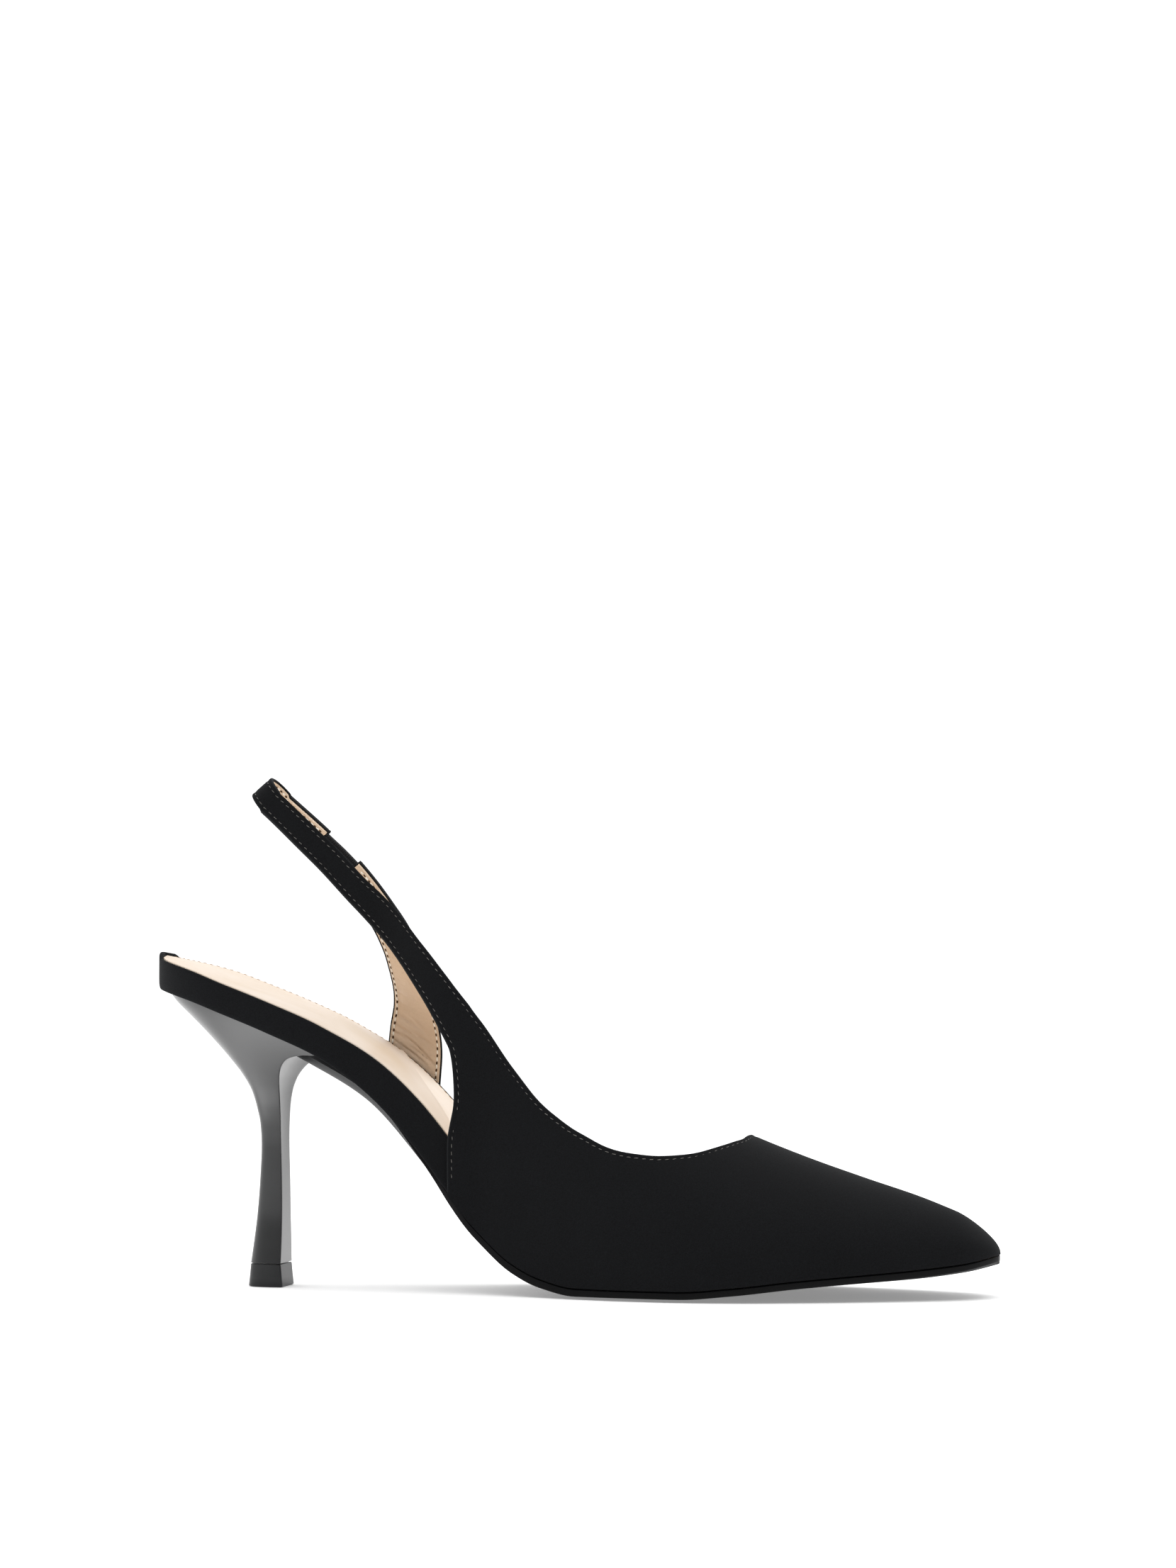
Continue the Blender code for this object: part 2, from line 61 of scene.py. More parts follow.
SEAT_TRIM = 0.0014
CHEEK = 0.0012
TIP_POWER = 8

# Clearance between neighbours, then walls and layers
CLEAR = 0.0003
WALL = 0.0015
BOARD = 0.0088
BOARD_EDGE = 0.0016
BOARD_RIM = 0.0012
BOARD_DROOP = 0.0013
SOCK = 0.0009
OUTSOLE = 0.0019
OUTSOLE_EDGE = 0.0006
OUTSOLE_CROWN = 0.0008
OUTSOLE_TUCK = 0.0024
OUTSOLE_INSET = 0.0005

# Sling strap and elastic
STRAP_WIDTH = 0.0080
STRAP_SPREAD = 0.0126
ELASTIC_WALL = 0.0009
ELASTIC_INSET = 0.0009

# Heel and top piece
HEEL_TOP_DEPTH = 0.0490
HEEL_TOP_WIDTH = 0.0442
HEEL_NECK_WIDTH = 0.0091
BREAST_CURVE = 0.0080
TIP_DEPTH = 0.0111
TIP_WIDTH = 0.0122
TOP_PIECE = 0.0065

# Where pieces start and end along the last
SEAT_END = 0.150
TOE_START = 0.920
BOARD_END = 0.982
BREAST_FADE = 0.420
SOCK_END = 0.970
OUTSOLE_FLARE_START = 0.355
OUTSOLE_FLARE_END = 0.410
TREAD_START = 0.590
TREAD_END = 0.660
OUTSOLE_END = 0.9985

OUTER = CLEAR + WALL
MERGE = 1e-6

# Wall of the upper, from outside in: suede, then lining, whose cut edge lies back from the fold
SUEDE = 0.0010
LINING_BACK = 0.0006
FOLD_ROUND = 0.0005
LINING_ROUND = 0.0002
LINING_END = 0.04

# The elastic's ends are sewn in between suede and lining
ELASTIC_SEWN_IN = 0.0012

# Stitching: a seam lies in a groove SEAM_INSET inside its edge, with a stitch every STITCH_PITCH;
# a stitch's or hole's size is its length, width and height. The tacks that hold the elastic lie
# TACK_BACK of a row in from the ends of strap and band
SEAM_INSET = 0.0014
SEAM_STEP = 0.0002
SEAM_DEPTH = 0.00012
SEAM_HALF = 0.0006
STITCH_PITCH = 0.0021
STITCH_SLANT = math.radians(7.0)
TOP_STITCH = (0.0013, 0.0002, 0.0002)
LOCK_STITCH = (0.0013, 0.0006, 0.0004)
SOCK_STITCH = (0.0012, 0.0005, 0.0003)
NEEDLE_HOLE = (0.0010, 0.0006, 0.0002)
SOCK_STITCH_INSET = 0.0012
SOCK_STITCH_END = 0.50
SLOPE_STEP = 0.001
TACK_BACK = 0.05
TACK_SHARES = (0.25, 0.42, 0.58, 0.75)

# Seat: the suede stands up behind the sock's back end
SEAT_LIP = 0.0014
SOCK_START = BOARD_RIM + 0.00015

# Sock lining: its crown, and the step and the bead where its padded heel part ends
SOCK_CROWN = 0.0004
PAD_STEP = 0.0003
PAD_BEAD = 0.00045
PAD_LINE_HALF = 0.0008
PAD_START = 0.27
PAD_END = 0.41

# Outsole: flat across at the shank; its rounded back end laps under the heel's flared breast
SHANK_FLAT = 0.85
TONGUE = 0.0055
TONGUE_INSET = 0.0008
TONGUE_ROUND = 0.0050

# Finer forms of the heel and the top piece
HEEL_EDGE = 0.00045
SEAT_CLEARANCE_SLOPE = 1.0
SIDE_SQUARENESS = 3.6
SEAT_SQUARENESS = 2.15
TOP_PIECE_GROOVE = 0.00015
TOP_PIECE_CHAMFER = 0.0004

# Distances from a free edge where a shell has its outermost columns of vertices, the spacing of
# the points that stand for the edge, and how far in from it the suede's painted highlight reaches
EDGE_COLUMNS = (0.0, 0.00012, 0.0003, 0.0005, 0.0008, 0.0011, 0.0014, 0.0018)
EDGE_SAMPLE = 0.0001
EDGE_HIGHLIGHT_WIDTH = 0.0005

# How many rows or rings each stretch of a piece has
VAMP_ROWS = 64
ELASTIC_ROWS = 60
SEAT_RINGS = 40
WAIST_RINGS = 130
TOE_RINGS = 16
PAD_RINGS = 120
TONGUE_RINGS = 12
SHANK_RINGS = 90
TREAD_RINGS = 8
SPRING_RINGS = 70
HEEL_STEPS = 8
SOCK_SEAM_STEPS = 120

# The camera, placed as for the photo
FRAME_HEIGHT = 2212
CAMERA_PLACE = (0.29218, -0.98240, 0.0800)
CAMERA_YAW = math.radians(11.5)
CAMERA_PITCH = math.radians(3.577)
CAMERA_FOCUS_PIXELS = 5000.0
SENSOR = 36.0

# The studio's room: how bright its white and its dim side are, where the white one lies, and
# between which cosines from there the one fades into the other
ROOM_WHITE = 1.15
ROOM_DIM = 0.20
WHITE_SIDE = (-0.2, 1.0, 0.0)
ROOM_FADE = (-0.7, 0.3)

# The studio's floor: its own glow, and the patch of light thrown up beside the heel
FLOOR_HALF = 3.0
FLOOR_WHITE = (0.97, 0.97, 0.97, 1.0)
FLOOR_GLOW = 0.25
BOUNCE_PLACE = (-0.08, -0.07, 0.0)
BOUNCE_REACH = 0.11
BOUNCE_GLOW = 2.6

# The studio's soft light overhead
TOP_LIGHT_PLACE = (0.10, -0.15, 1.40)
TOP_LIGHT_TARGET = (0.10, 0.0, 0.0)
TOP_LIGHT_SIZE = (2.0, 1.6)
TOP_LIGHT_POWER = 20.0

# bed and spring: underside height as shares of HEEL_RISE and TOE_SPRING
# seat, lateral and medial: half width as shares of half SEAT_WIDTH and half BALL_WIDTH
# ridge: height of the last over its bed, share of INSTEP; board: share of BOARD
# sole: share of OUTSOLE; droop: how far the board's wrapped edge hangs, share of BOARD_DROOP
Section = namedtuple("Section", "along bed spring seat lateral medial ridge board sole droop")
LAST = [
    Section(0.000, 1.0000, 0.000, 1.00, 0.000, 0.000, 2.17, 0.88, 1.00, 1.0),
    Section(0.070, 0.9445, 0.000, 1.00, 0.000, 0.000, 2.17, 0.87, 1.00, 1.0),
    Section(0.108, 0.9040, 0.000, 1.00, 0.000, 0.000, 2.17, 0.86, 1.00, 1.0),
    Section(0.165, 0.8380, 0.000, 0.85, 0.105, 0.098, 2.17, 0.88, 1.00, 1.0),
    Section(0.227, 0.7540, 0.000, 0.50, 0.304, 0.298, 2.17, 0.92, 0.92, 1.0),
    Section(0.289, 0.6190, 0.000, 0.20, 0.461, 0.455, 2.17, 1.21, 0.46, 1.0),
    Section(0.343, 0.4370, 0.000, 0.05, 0.540, 0.540, 2.17, 1.60, 0.95, 0.6),
    Section(0.379, 0.2920, 0.000, 0.00, 0.576, 0.580, 2.17, 1.80, 1.00, 0.0),
    Section(0.414, 0.1780, 0.000, 0.00, 0.591, 0.596, 2.16, 1.56, 1.00, 0.0),
    Section(0.458, 0.0730, 0.000, 0.00, 0.672, 0.652, 2.05, 1.04, 1.00, 0.0),
    Section(0.493, 0.0272, 0.000, 0.00, 0.748, 0.705, 1.92, 0.70, 1.00, 0.0),
    Section(0.538, 0.0010, 0.000, 0.00, 0.848, 0.789, 1.71, 0.50, 1.00, 0.0),
    Section(0.590, 0.0000, 0.000, 0.00, 0.946, 0.892, 1.45, 0.42, 1.00, 0.0),
    Section(0.660, 0.0000, 0.000, 0.00, 1.006, 0.988, 1.19, 0.40, 1.00, 0.0),
    Section(0.718, 0.0000, 0.120, 0.00, 0.982, 0.996, 1.00, 0.40, 1.00, 0.0),
    Section(0.787, 0.0000, 0.330, 0.00, 0.874, 0.906, 0.782, 0.40, 1.00, 0.0),
    Section(0.850, 0.0000, 0.480, 0.00, 0.725, 0.766, 0.610, 0.38, 1.00, 0.0),
    Section(0.912, 0.0000, 0.625, 0.00, 0.542, 0.591, 0.446, 0.34, 1.00, 0.0),
    Section(0.966, 0.0000, 0.800, 0.00, 0.365, 0.405, 0.268, 0.28, 0.90, 0.0),
    Section(1.000, 0.0000, 1.000, 0.00, 0.270, 0.285, 0.145, 0.24, 0.80, 0.0),
]

# Lateral cross-lines, from the throat back to the top of the quarter's rear edge
Cross = namedtuple("Cross", "low_along low_angle top_along top_angle")
LATERAL = [
    Cross(0.718, 0.0, 0.7180, 90.0),
    Cross(0.700, 0.0, 0.7155, 78.0),
    Cross(0.672, 0.0, 0.7050, 68.5),
    Cross(0.630, 0.0, 0.6690, 53.0),
    Cross(0.570, 0.0, 0.6170, 43.2),
    Cross(0.515, 0.0, 0.5580, 39.0),
    Cross(0.465, 0.0, 0.5030, 38.9),
    Cross(0.418, 0.0, 0.4540, 41.5),
    Cross(0.380, 0.0, 0.4240, 43.0),
    Cross(0.379, 9.2, 0.4130, 43.5),
    Cross(0.386, 19.5, 0.4050, 43.8),
    Cross(0.378, 28.4, 0.3970, 44.1),
]

# The strap: its upper edge, the lean of its width below level, its width as a share
Strap = namedtuple("Strap", "top_along top_angle lean width")
SLING = [
    Strap(0.377, 44.1, 34.7, 1.21),
    Strap(0.331, 42.1, 36.6, 1.10),
    Strap(0.274, 41.4, 42.0, 1.04),
    Strap(0.219, 45.0, 43.5, 0.99),
    Strap(0.158, 52.1, 40.4, 0.96),
]

# The strap's far half hangs FAR_LIFT degrees higher; counted in rows from the throat, the strap
# ends at SLING_END and the medial band begins at BAND_START
FAR_LIFT = 0.6
SLING_END = 15.20
BAND_START = 14.56

# Half gap between the two sides of the strap, share of half STRAP_SPREAD
Spread = namedtuple("Spread", "along share")
SPREAD = [
    Spread(0.150, 1.00),
    Spread(0.200, 1.00),
    Spread(0.245, 1.08),
    Spread(0.275, 1.20),
    Spread(0.303, 1.42),
    Spread(0.330, 1.75),
    Spread(0.380, 2.40),
]

# The upper leans in to the strap behind LEAN_END, in full behind LEAN_START, and above
# HUG_HEIGHT, in full above FREE_HEIGHT, which are shares of INSTEP
LEAN_START = 0.275
LEAN_END = 0.420
HUG_HEIGHT = 0.52
FREE_HEIGHT = 1.17

# Medial wing, from the throat back to its end at the arch
MEDIAL = [
    Cross(0.718, 0.0, 0.7180, 90.0),
    Cross(0.700, 0.0, 0.7155, 78.0),
    Cross(0.672, 0.0, 0.7035, 66.0),
    Cross(0.640, 0.0, 0.6750, 48.0),
    Cross(0.590, 0.0, 0.6320, 33.0),
    Cross(0.535, 0.0, 0.5750, 22.4),
    Cross(0.480, 0.0, 0.5120, 15.4),
    Cross(0.440, 0.0, 0.4570, 11.2),
    Cross(0.418, 0.0, 0.4260, 8.8),
    Cross(0.405, 0.0, 0.4060, 5.6),
]

# Medial band, from just below its end at the elastic down to the feather line
BAND = [
    Strap(0.264, 41.4, 37.0, 1.04),
    Strap(0.285, 39.0, 33.0, 1.10),
    Strap(0.303, 36.5, 16.0, 1.22),
    Strap(0.317, 32.2, -6.0, 1.44),
    Strap(0.327, 24.6, -26.0, 1.88),
    Strap(0.331, 17.4, -38.8, 2.40),
    Strap(0.328, 9.2, -46.0, 2.78),
    Strap(0.323, 0.0, -42.0, 2.60),
]

# Heel rings: lifts are shares of the way from the top piece to the seat above
# back and front: shares of HEEL_TOP_DEPTH; flare: 0 at the neck's width, 1 at the seat's
# curve: how far the breast is hollowed, share of BREAST_CURVE
HeelRing = namedtuple("HeelRing", "back_lift back front_lift front flare curve")
HEEL = [
    HeelRing(0.000, -0.116, 0.000, 0.087, 0.082, 0.00),
    HeelRing(0.080, -0.100, 0.080, 0.088, 0.052, 0.00),
    HeelRing(0.210, -0.078, 0.210, 0.087, 0.014, 0.00),
    HeelRing(0.342, -0.064, 0.342, 0.084, 0.003, 0.00),
    HeelRing(0.475, -0.056, 0.475, 0.079, 0.000, 0.01),
    HeelRing(0.563, -0.063, 0.574, 0.077, 0.012, 0.02),
    HeelRing(0.629, -0.083, 0.662, 0.078, 0.050, 0.03),
    HeelRing(0.695, -0.114, 0.728, 0.082, 0.130, 0.05),
    HeelRing(0.751, -0.169, 0.784, 0.093, 0.260, 0.08),
    HeelRing(0.806, -0.254, 0.839, 0.120, 0.440, 0.14),
    HeelRing(0.861, -0.360, 0.894, 0.174, 0.640, 0.28),
    HeelRing(0.916, -0.480, 0.944, 0.272, 0.815, 0.50),
    HeelRing(0.960, -0.580, 0.980, 0.365, 0.930, 0.78),
    HeelRing(1.000, -0.640, 1.000, 0.405, 1.000, 1.00),
]


def smooth_curve(positions, values):
    """Function through the points that never overshoots them."""
    steps = [after - before for before, after in zip(positions, positions[1:])]
    slopes = [(values[i + 1] - values[i]) / step for i, step in enumerate(steps)]
    tangents = [slopes[0]]
    for i in range(1, len(steps)):
        before, after = slopes[i - 1], slopes[i]
        if before * after <= 0.0:
            tangents.append(0.0)
        else:
            near = 2.0 * steps[i] + steps[i - 1]
            far = steps[i] + 2.0 * steps[i - 1]
            tangents.append((near + far) / (near / before + far / after))
    tangents.append(slopes[-1])

    def at(place):
        place = min(max(place, positions[0]), positions[-1])
        i = min(bisect_right(positions, place), len(steps)) - 1
        t = (place - positions[i]) / steps[i]
        return ((1.0 + 2.0 * t) * (1.0 - t) ** 2 * values[i]
                + t * (1.0 - t) ** 2 * steps[i] * tangents[i]
                + t * t * (3.0 - 2.0 * t) * values[i + 1]
                + t * t * (t - 1.0) * steps[i] * tangents[i + 1])

    return at


def columns_of(rows):
    """One smooth curve for each column of a table, over its first column."""
    places = [row[0] for row in rows]
    names = rows[0]._fields[1:]
    return {name: smooth_curve(places, [getattr(row, name) for row in rows]) for name in names}


def rows_of(rows):
    """Function that gives a table's row at a fractional index, every column smooth."""
    places = list(range(len(rows)))
    curves = [smooth_curve(places, list(values)) for values in zip(*rows)]
    return lambda index: type(rows[0])(*(curve(index) for curve in curves))


def ease(start, end, at):
    t = min(max((at - start) / (end - start), 0.0), 1.0)
    return t * t * (3.0 - 2.0 * t)


def mix(a, b, share):
    return a + (b - a) * share


def round_off(distance, radius):
    """Quarter-round from 0 at the end to 1 at the radius."""
    left = 1.0 - min(max(distance, 0.0), radius) / radius
    return math.sqrt(1.0 - left * left)


def spaced(start, end, count):
    """Stations that crowd towards the end."""
    return [mix(start, end, math.sin(math.pi / 2.0 * k / count)) for k in range(count + 1)]


def steps_between(start, end, count):
    return [mix(start, end, k / count) for k in range(count + 1)]


SECTION = columns_of(LAST)
SPREAD_AT = columns_of(SPREAD)["share"]


def x_at(along):
    return along * LENGTH - SEAT_BACK


def along_at(x):
    return (x + SEAT_BACK) / LENGTH


def tip_growth(along, grow):
    """How far forwards a point near the toe's tip moves when the last is swollen by grow."""
    return grow * along ** TIP_POWER


def bed(x):
    """Height of the last's underside over the floor."""
    along = along_at(x)
    rise = HEEL_RISE * SECTION["bed"](along) + TOE_SPRING * SECTION["spring"](along)
    return OUTSOLE_CROWN + OUTSOLE + CLEAR + rise


def half_width(along, side):
    name = "lateral" if side < 0 else "medial"
    return 0.5 * (SEAT_WIDTH * SECTION["seat"](along) + BALL_WIDTH * SECTION[name](along))


def rounding(along):
    """Plan rounding of the seat's back and of the toe."""
    seat = round_off(along * LENGTH - SEAT_TRIM, SEAT_ROUND)
    return seat * round_off((1.0 - along) * LENGTH, TOE_ROUND)


def last_height(along, grow):
    ridge = INSTEP * SECTION["ridge"](along)
    return (ridge + grow) * round_off((1.0 - along) * LENGTH, TOE_DOME)


def last_half(along, angle, side, grow):
    """Distance of the last's side from the middle plane."""
    a = math.radians(angle)
    half = (half_width(along, side) + grow) * rounding(along)
    cheek = CHEEK * math.sin(2.0 * a) * math.cos(a) ** 2 * rounding(along)
    return half * math.cos(a) + cheek


def skin(along, angle, side, grow):
    """Point on the last swollen by grow; higher up at the back it leans in to the strap."""
    rise = last_height(along, grow) * math.sin(math.radians(angle))
    on_last = last_half(along, angle, side, grow)
    strap = 0.5 * STRAP_SPREAD * SPREAD_AT(along) + grow - OUTER
    free = ease(HUG_HEIGHT * INSTEP, FREE_HEIGHT * INSTEP, rise)
    lean = free * (1.0 - ease(LEAN_START, LEAN_END, along))
    x = x_at(along) + tip_growth(along, grow)
    return Vector((x, side * mix(on_last, strap, lean), bed(x_at(along)) + rise))


def angle_at(x, z):
    rise = (z - bed(x)) / last_height(along_at(x), OUTER)
    return math.degrees(math.asin(min(max(rise, 0.0), 1.0)))


def strap_cross(row):
    """Cross-line of a strap: its lower edge hangs STRAP_WIDTH below its upper edge."""
    x = x_at(row.top_along)
    z = bed(x) + last_height(row.top_along, OUTER) * math.sin(math.radians(row.top_angle))
    lean = math.radians(row.lean)
    x -= STRAP_WIDTH * row.width * math.cos(lean)
    z -= STRAP_WIDTH * row.width * math.sin(lean)
    return Cross(along_at(x), angle_at(x, z), row.top_along, row.top_angle)


LATERAL_ROWS = LATERAL + [strap_cross(row) for row in SLING]
STRAP_START = len(LATERAL_ROWS) - 1
lateral_cross = rows_of(LATERAL_ROWS)
medial_cross = rows_of(MEDIAL)


def far_cross(index):
    """Cross-line of the strap's medial side, which hangs a little higher than the lateral side."""
    cross = lateral_cross(index)
    lift = FAR_LIFT * (1.0 - ease(SLING_END, STRAP_START, index))
    return cross._replace(low_angle=cross.low_angle + lift, top_angle=cross.top_angle + lift)


BAND_ROWS = [far_cross(BAND_START)] + [strap_cross(row) for row in BAND]
band_cross = rows_of(BAND_ROWS)
heel_at = rows_of(HEEL)

# A line across a shell, and whether its low and top ends are free edges; a low end that starts
# lower than FEATHER_ANGLE stands on the feather line and isn't free
Line = namedtuple("Line", "kind value side low_free top_free")
FEATHER_ANGLE = 0.5


def cross_line(cross, side, top_free=True):
    return Line("cross", cross, side, cross.low_angle > FEATHER_ANGLE, top_free)


def vamp_line(along, side):
    return cross_line(Cross(along, 0.0, along, 90.0), side, top_free=False)


def loop_point(turn, share, grow):
    """The strap's bend round the back of the foot, about an axis along its width."""
    start = LATERAL_ROWS[-1]
    low = skin(start.low_along, start.low_angle, 1.0, OUTER)
    top = skin(start.top_along, start.top_angle, 1.0, OUTER)
    across = Vector((top.x - low.x, 0.0, top.z - low.z)).normalized()
    radius = 0.5 * STRAP_SPREAD + grow - OUTER
    reach = radius * math.sin(turn)
    middle = low.lerp(top, share)
    return Vector((middle.x - across.z * reach, -radius * math.cos(turn), middle.z + across.x * reach))


def line_point(line, share, grow):
    if line.kind == "loop":
        return loop_point(line.value, share, grow)
    cross = line.value
    along = mix(cross.low_along, cross.top_along, share)
    return skin(along, mix(cross.low_angle, cross.top_angle, share), line.side, grow)


def line_width(line):
    points = [line_point(line, share, OUTER) for share in steps_between(0.0, 1.0, 8)]
    return max(sum((b - a).length for a, b in zip(points, points[1:])), MERGE)


def column_shares(line, middle, back):
    """Shares across a line, close together at its ends; back is how far it stops from free edges."""
    width = line_width(line)
    start = back / width if line.low_free else 0.0
    end = 1.0 - back / width if line.top_free else 1.0
    squeeze = min(1.0, 0.3 * width * (end - start) / EDGE_COLUMNS[-1])
    low = [start + squeeze * step / width for step in EDGE_COLUMNS]
    top = [end - squeeze * step / width for step in reversed(EDGE_COLUMNS)]
    return low + steps_between(low[-1], top[0], middle + 1)[1:-1] + top


def upper_lines(vamp, steps, end_back=0.0):
    """Lines across the whole upper: medial wing, vamp, lateral quarter, strap, its far end."""
    wing = steps_between(len(MEDIAL) - 1 - end_back, 0.0, steps * (len(MEDIAL) - 1))
    lines = [cross_line(medial_cross(index), 1.0) for index in wing]
    lines += [vamp_line(along, 1.0) for along in vamp]
    lines += [vamp_line(along, -1.0) for along in reversed(vamp)]
    quarter = steps_between(0.0, STRAP_START, steps * STRAP_START)
    lines += [cross_line(lateral_cross(index), -1.0) for index in quarter]
    bend = steps_between(0.0, math.pi, 5 * steps)[1:-1]
    lines += [Line("loop", turn, 0.0, True, True) for turn in bend]
    far = steps_between(STRAP_START, SLING_END + end_back, 2 * steps)
    return lines + [cross_line(far_cross(index), 1.0) for index in far]


def vamp_stations(back):
    """Stations from the throat to the toe's tip, close together at both ends."""
    throat = MEDIAL[0].top_along + back / LENGTH
    near = [throat + step / LENGTH for step in EDGE_COLUMNS[1:]]
    return near + spaced(near[-1], 1.0, VAMP_ROWS)[1:]


def laid_sheet(row_count, column_count, place):
    """A sheet of quads, each vertex laid where place(row, column) says, coincident ones merged."""
    bm = bmesh.new()
    bmesh.ops.create_grid(bm, x_segments=row_count - 1, y_segments=column_count - 1, size=1.0)
    # Mask for the suede's painted highlight along the free edges
    bm.verts.layers.float.new("edge_highlight")
    bm.verts.layers.int.new("row")
    bm.verts.layers.int.new("column")
    row_layer = bm.verts.layers.int["row"]
    column_layer = bm.verts.layers.int["column"]
    for vert in bm.verts:
        vert[row_layer] = round((vert.co.x + 1.0) / 2.0 * (row_count - 1))
        vert[column_layer] = round((vert.co.y + 1.0) / 2.0 * (column_count - 1))
    for vert in bm.verts:
        vert.co = place(vert[row_layer], vert[column_layer])
    bmesh.ops.remove_doubles(bm, verts=bm.verts, dist=MERGE)
    return bm, row_layer, column_layer


def as_piece(name, bm, material, replaces=(), sharp=38.0):
    """Turns a closed bmesh into a smooth piece of the frame's one body."""
    bmesh.ops.recalc_face_normals(bm, faces=bm.faces[:])
    if bm.calc_volume(signed=True) < 0.0:
        bmesh.ops.reverse_faces(bm, faces=bm.faces[:])
    mesh = bpy.data.meshes.new(name)
    bm.to_mesh(mesh)
    bm.free()
    mesh.materials.append(material)
    mesh.shade_smooth()
    mesh.set_sharp_from_angle(angle=math.radians(sharp))
    piece = bpy.data.objects.new(name, mesh)
    bpy.context.scene.collection.objects.link(piece)
    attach(piece, "root")
    if replaces:
        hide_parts(*replaces)
    return piece


def free_edges(lines, back, grow):
    """Search tree of points close together along a sheet's free edges."""
    ends = [column_shares(line, 0, back) for line in lines]
    lows = [line_point(line, shares[0], grow) for line, shares in zip(lines, ends)]
    tops = [line_point(line, shares[-1], grow) for line, shares in zip(lines, ends)]
    spans = []
    for k in range(len(lines) - 1):
        before, after = lines[k], lines[k + 1]
        if before.low_free and after.low_free:
            spans.append((lows[k], lows[k + 1]))
        if before.top_free and after.top_free:
            spans.append((tops[k], tops[k + 1]))
    for k in (0, -1):
        shares = steps_between(ends[k][0], ends[k][-1], 20)
        across = [line_point(lines[k], share, grow) for share in shares]
        spans += list(zip(across, across[1:]))
    samples = []
    for start, end in spans:
        count = max(1, round((end - start).length / EDGE_SAMPLE))
        samples += [start.lerp(end, k / count) for k in range(count)]
    tree = KDTree(len(samples))
    for k, sample in enumerate(samples):
        tree.insert(sample, k)
    tree.balance()
    return tree


def shell(lines, middle, seen, hidden, roll, back=0.0, seam_depth=0.0, relief=None):
    """A walled sheet over lines, its seen face rolled over at free edges and drawn in at seams.

    relief(point) lifts both faces, for listed creases. A vertex attribute is 1 along the free edges
    and 0 from a little way in; the suede paints its edges paler by it, a painted highlight.
    """
    shares = [column_shares(line, middle, back) for line in lines]
    inward = math.copysign(1.0, hidden - seen)

    def point(row, column, grow):
        line, share = lines[row], shares[row][column]
        lift = relief(line_point(line, share, OUTER)) if relief else 0.0
        return line_point(line, share, grow + lift)

    bm, row_layer, column_layer = laid_sheet(
        len(lines), len(shares[0]), lambda row, column: point(row, column, seen))
    edge_highlight_layer = bm.verts.layers.float["edge_highlight"]
    edges = free_edges(lines, back, seen)
    for vert in bm.verts:
        distance = edges.find(vert.co)[2]
        # 1 at a free edge, 0 from a little way in: where the suede's painted highlight lies
        vert[edge_highlight_layer] = max(0.0, 1.0 - distance / EDGE_HIGHLIGHT_WIDTH)
        drawn = roll * (1.0 - round_off(distance, roll))
        drawn += seam_depth * max(0.0, 1.0 - abs(distance - SEAM_INSET) / SEAM_HALF)
        vert.co = point(vert[row_layer], vert[column_layer], seen + inward * drawn)
    wall = bmesh.ops.extrude_face_region(bm, geom=bm.faces[:])
    for vert in wall["geom"]:
        if isinstance(vert, bmesh.types.BMVert):
            vert.co = point(vert[row_layer], vert[column_layer], hidden)
    return bm


def tube(rings):
    """A closed solid through rings of points, flat at both ends."""
    count = len(rings[0])
    bm, _, _ = laid_sheet(len(rings), count + 1, lambda row, column: rings[row][column % count])
    bmesh.ops.holes_fill(bm, edges=[edge for edge in bm.edges if edge.is_boundary])
    return bm


def softened(corners, steps=5):
    """Closed outline of (y, z, radius) corners, each one rounded by its own radius."""
    outline = []
    for k, (y, z, radius) in enumerate(corners):
        corner = Vector((y, z))
        ends = []
        for near in (corners[k - 1], corners[(k + 1) % len(corners)]):
            side = Vector(near[:2]) - corner
            reach = min(radius, 0.45 * side.length)
            ends.append(corner + side.normalized() * reach if side.length > MERGE else corner)
        for step in range(steps):
            t = step / (steps - 1)
            outline.append(ends[0].lerp(corner, t).lerp(corner.lerp(ends[1], t), t))
    return outline


def board_height(along):
    """Height of the wrapped board's top over the bed."""
    return BOARD * SECTION["board"](along)


def side_at(along, height, side):
    """Where the last's side stands at a height over its bed."""
    rise = min(height / last_height(along, 0.0), 1.0)
    return last_half(along, math.degrees(math.asin(rise)), side, 0.0)


def seat_half(along, side):
    """Half width of what lies between the board's hanging edges."""
    return max(half_width(along, side) * rounding(along) - OUTSOLE_TUCK, 0.0)


def seat_end(along):
    """1 at the very back of the seat, 0 a little way in."""
    return 1.0 - round_off(along * LENGTH - SEAT_TRIM, 2.0 * BOARD_EDGE)


def rim_inside(along, side):
    """Inner side of the board's wrapped rim, as far in from the seat's back as from its sides."""
    brow = side_at(along, board_height(along), side)
    behind = max(along - BOARD_RIM / LENGTH, SEAT_TRIM / LENGTH)
    inset = max(side_at(behind, board_height(behind), side), 0.2 * brow)
    return min(brow - min(BOARD_RIM, 0.4 * brow), inset)


def sock_floor(along):
    """Height over the bed of the board's recess for the sock lining."""
    return board_height(along) - CLEAR - SOCK


def board_stations():
    """Stations from the seat's back, where they crowd, to the board's end in the toe."""
    start = (SEAT_TRIM + MERGE * 100.0) / LENGTH
    back = spaced(SEAT_END, start, SEAT_RINGS)[::-1]
    middle = steps_between(SEAT_END, TOE_START, WAIST_RINGS)[1:]
    return back + middle + steps_between(TOE_START, BOARD_END, TOE_RINGS)[1:]


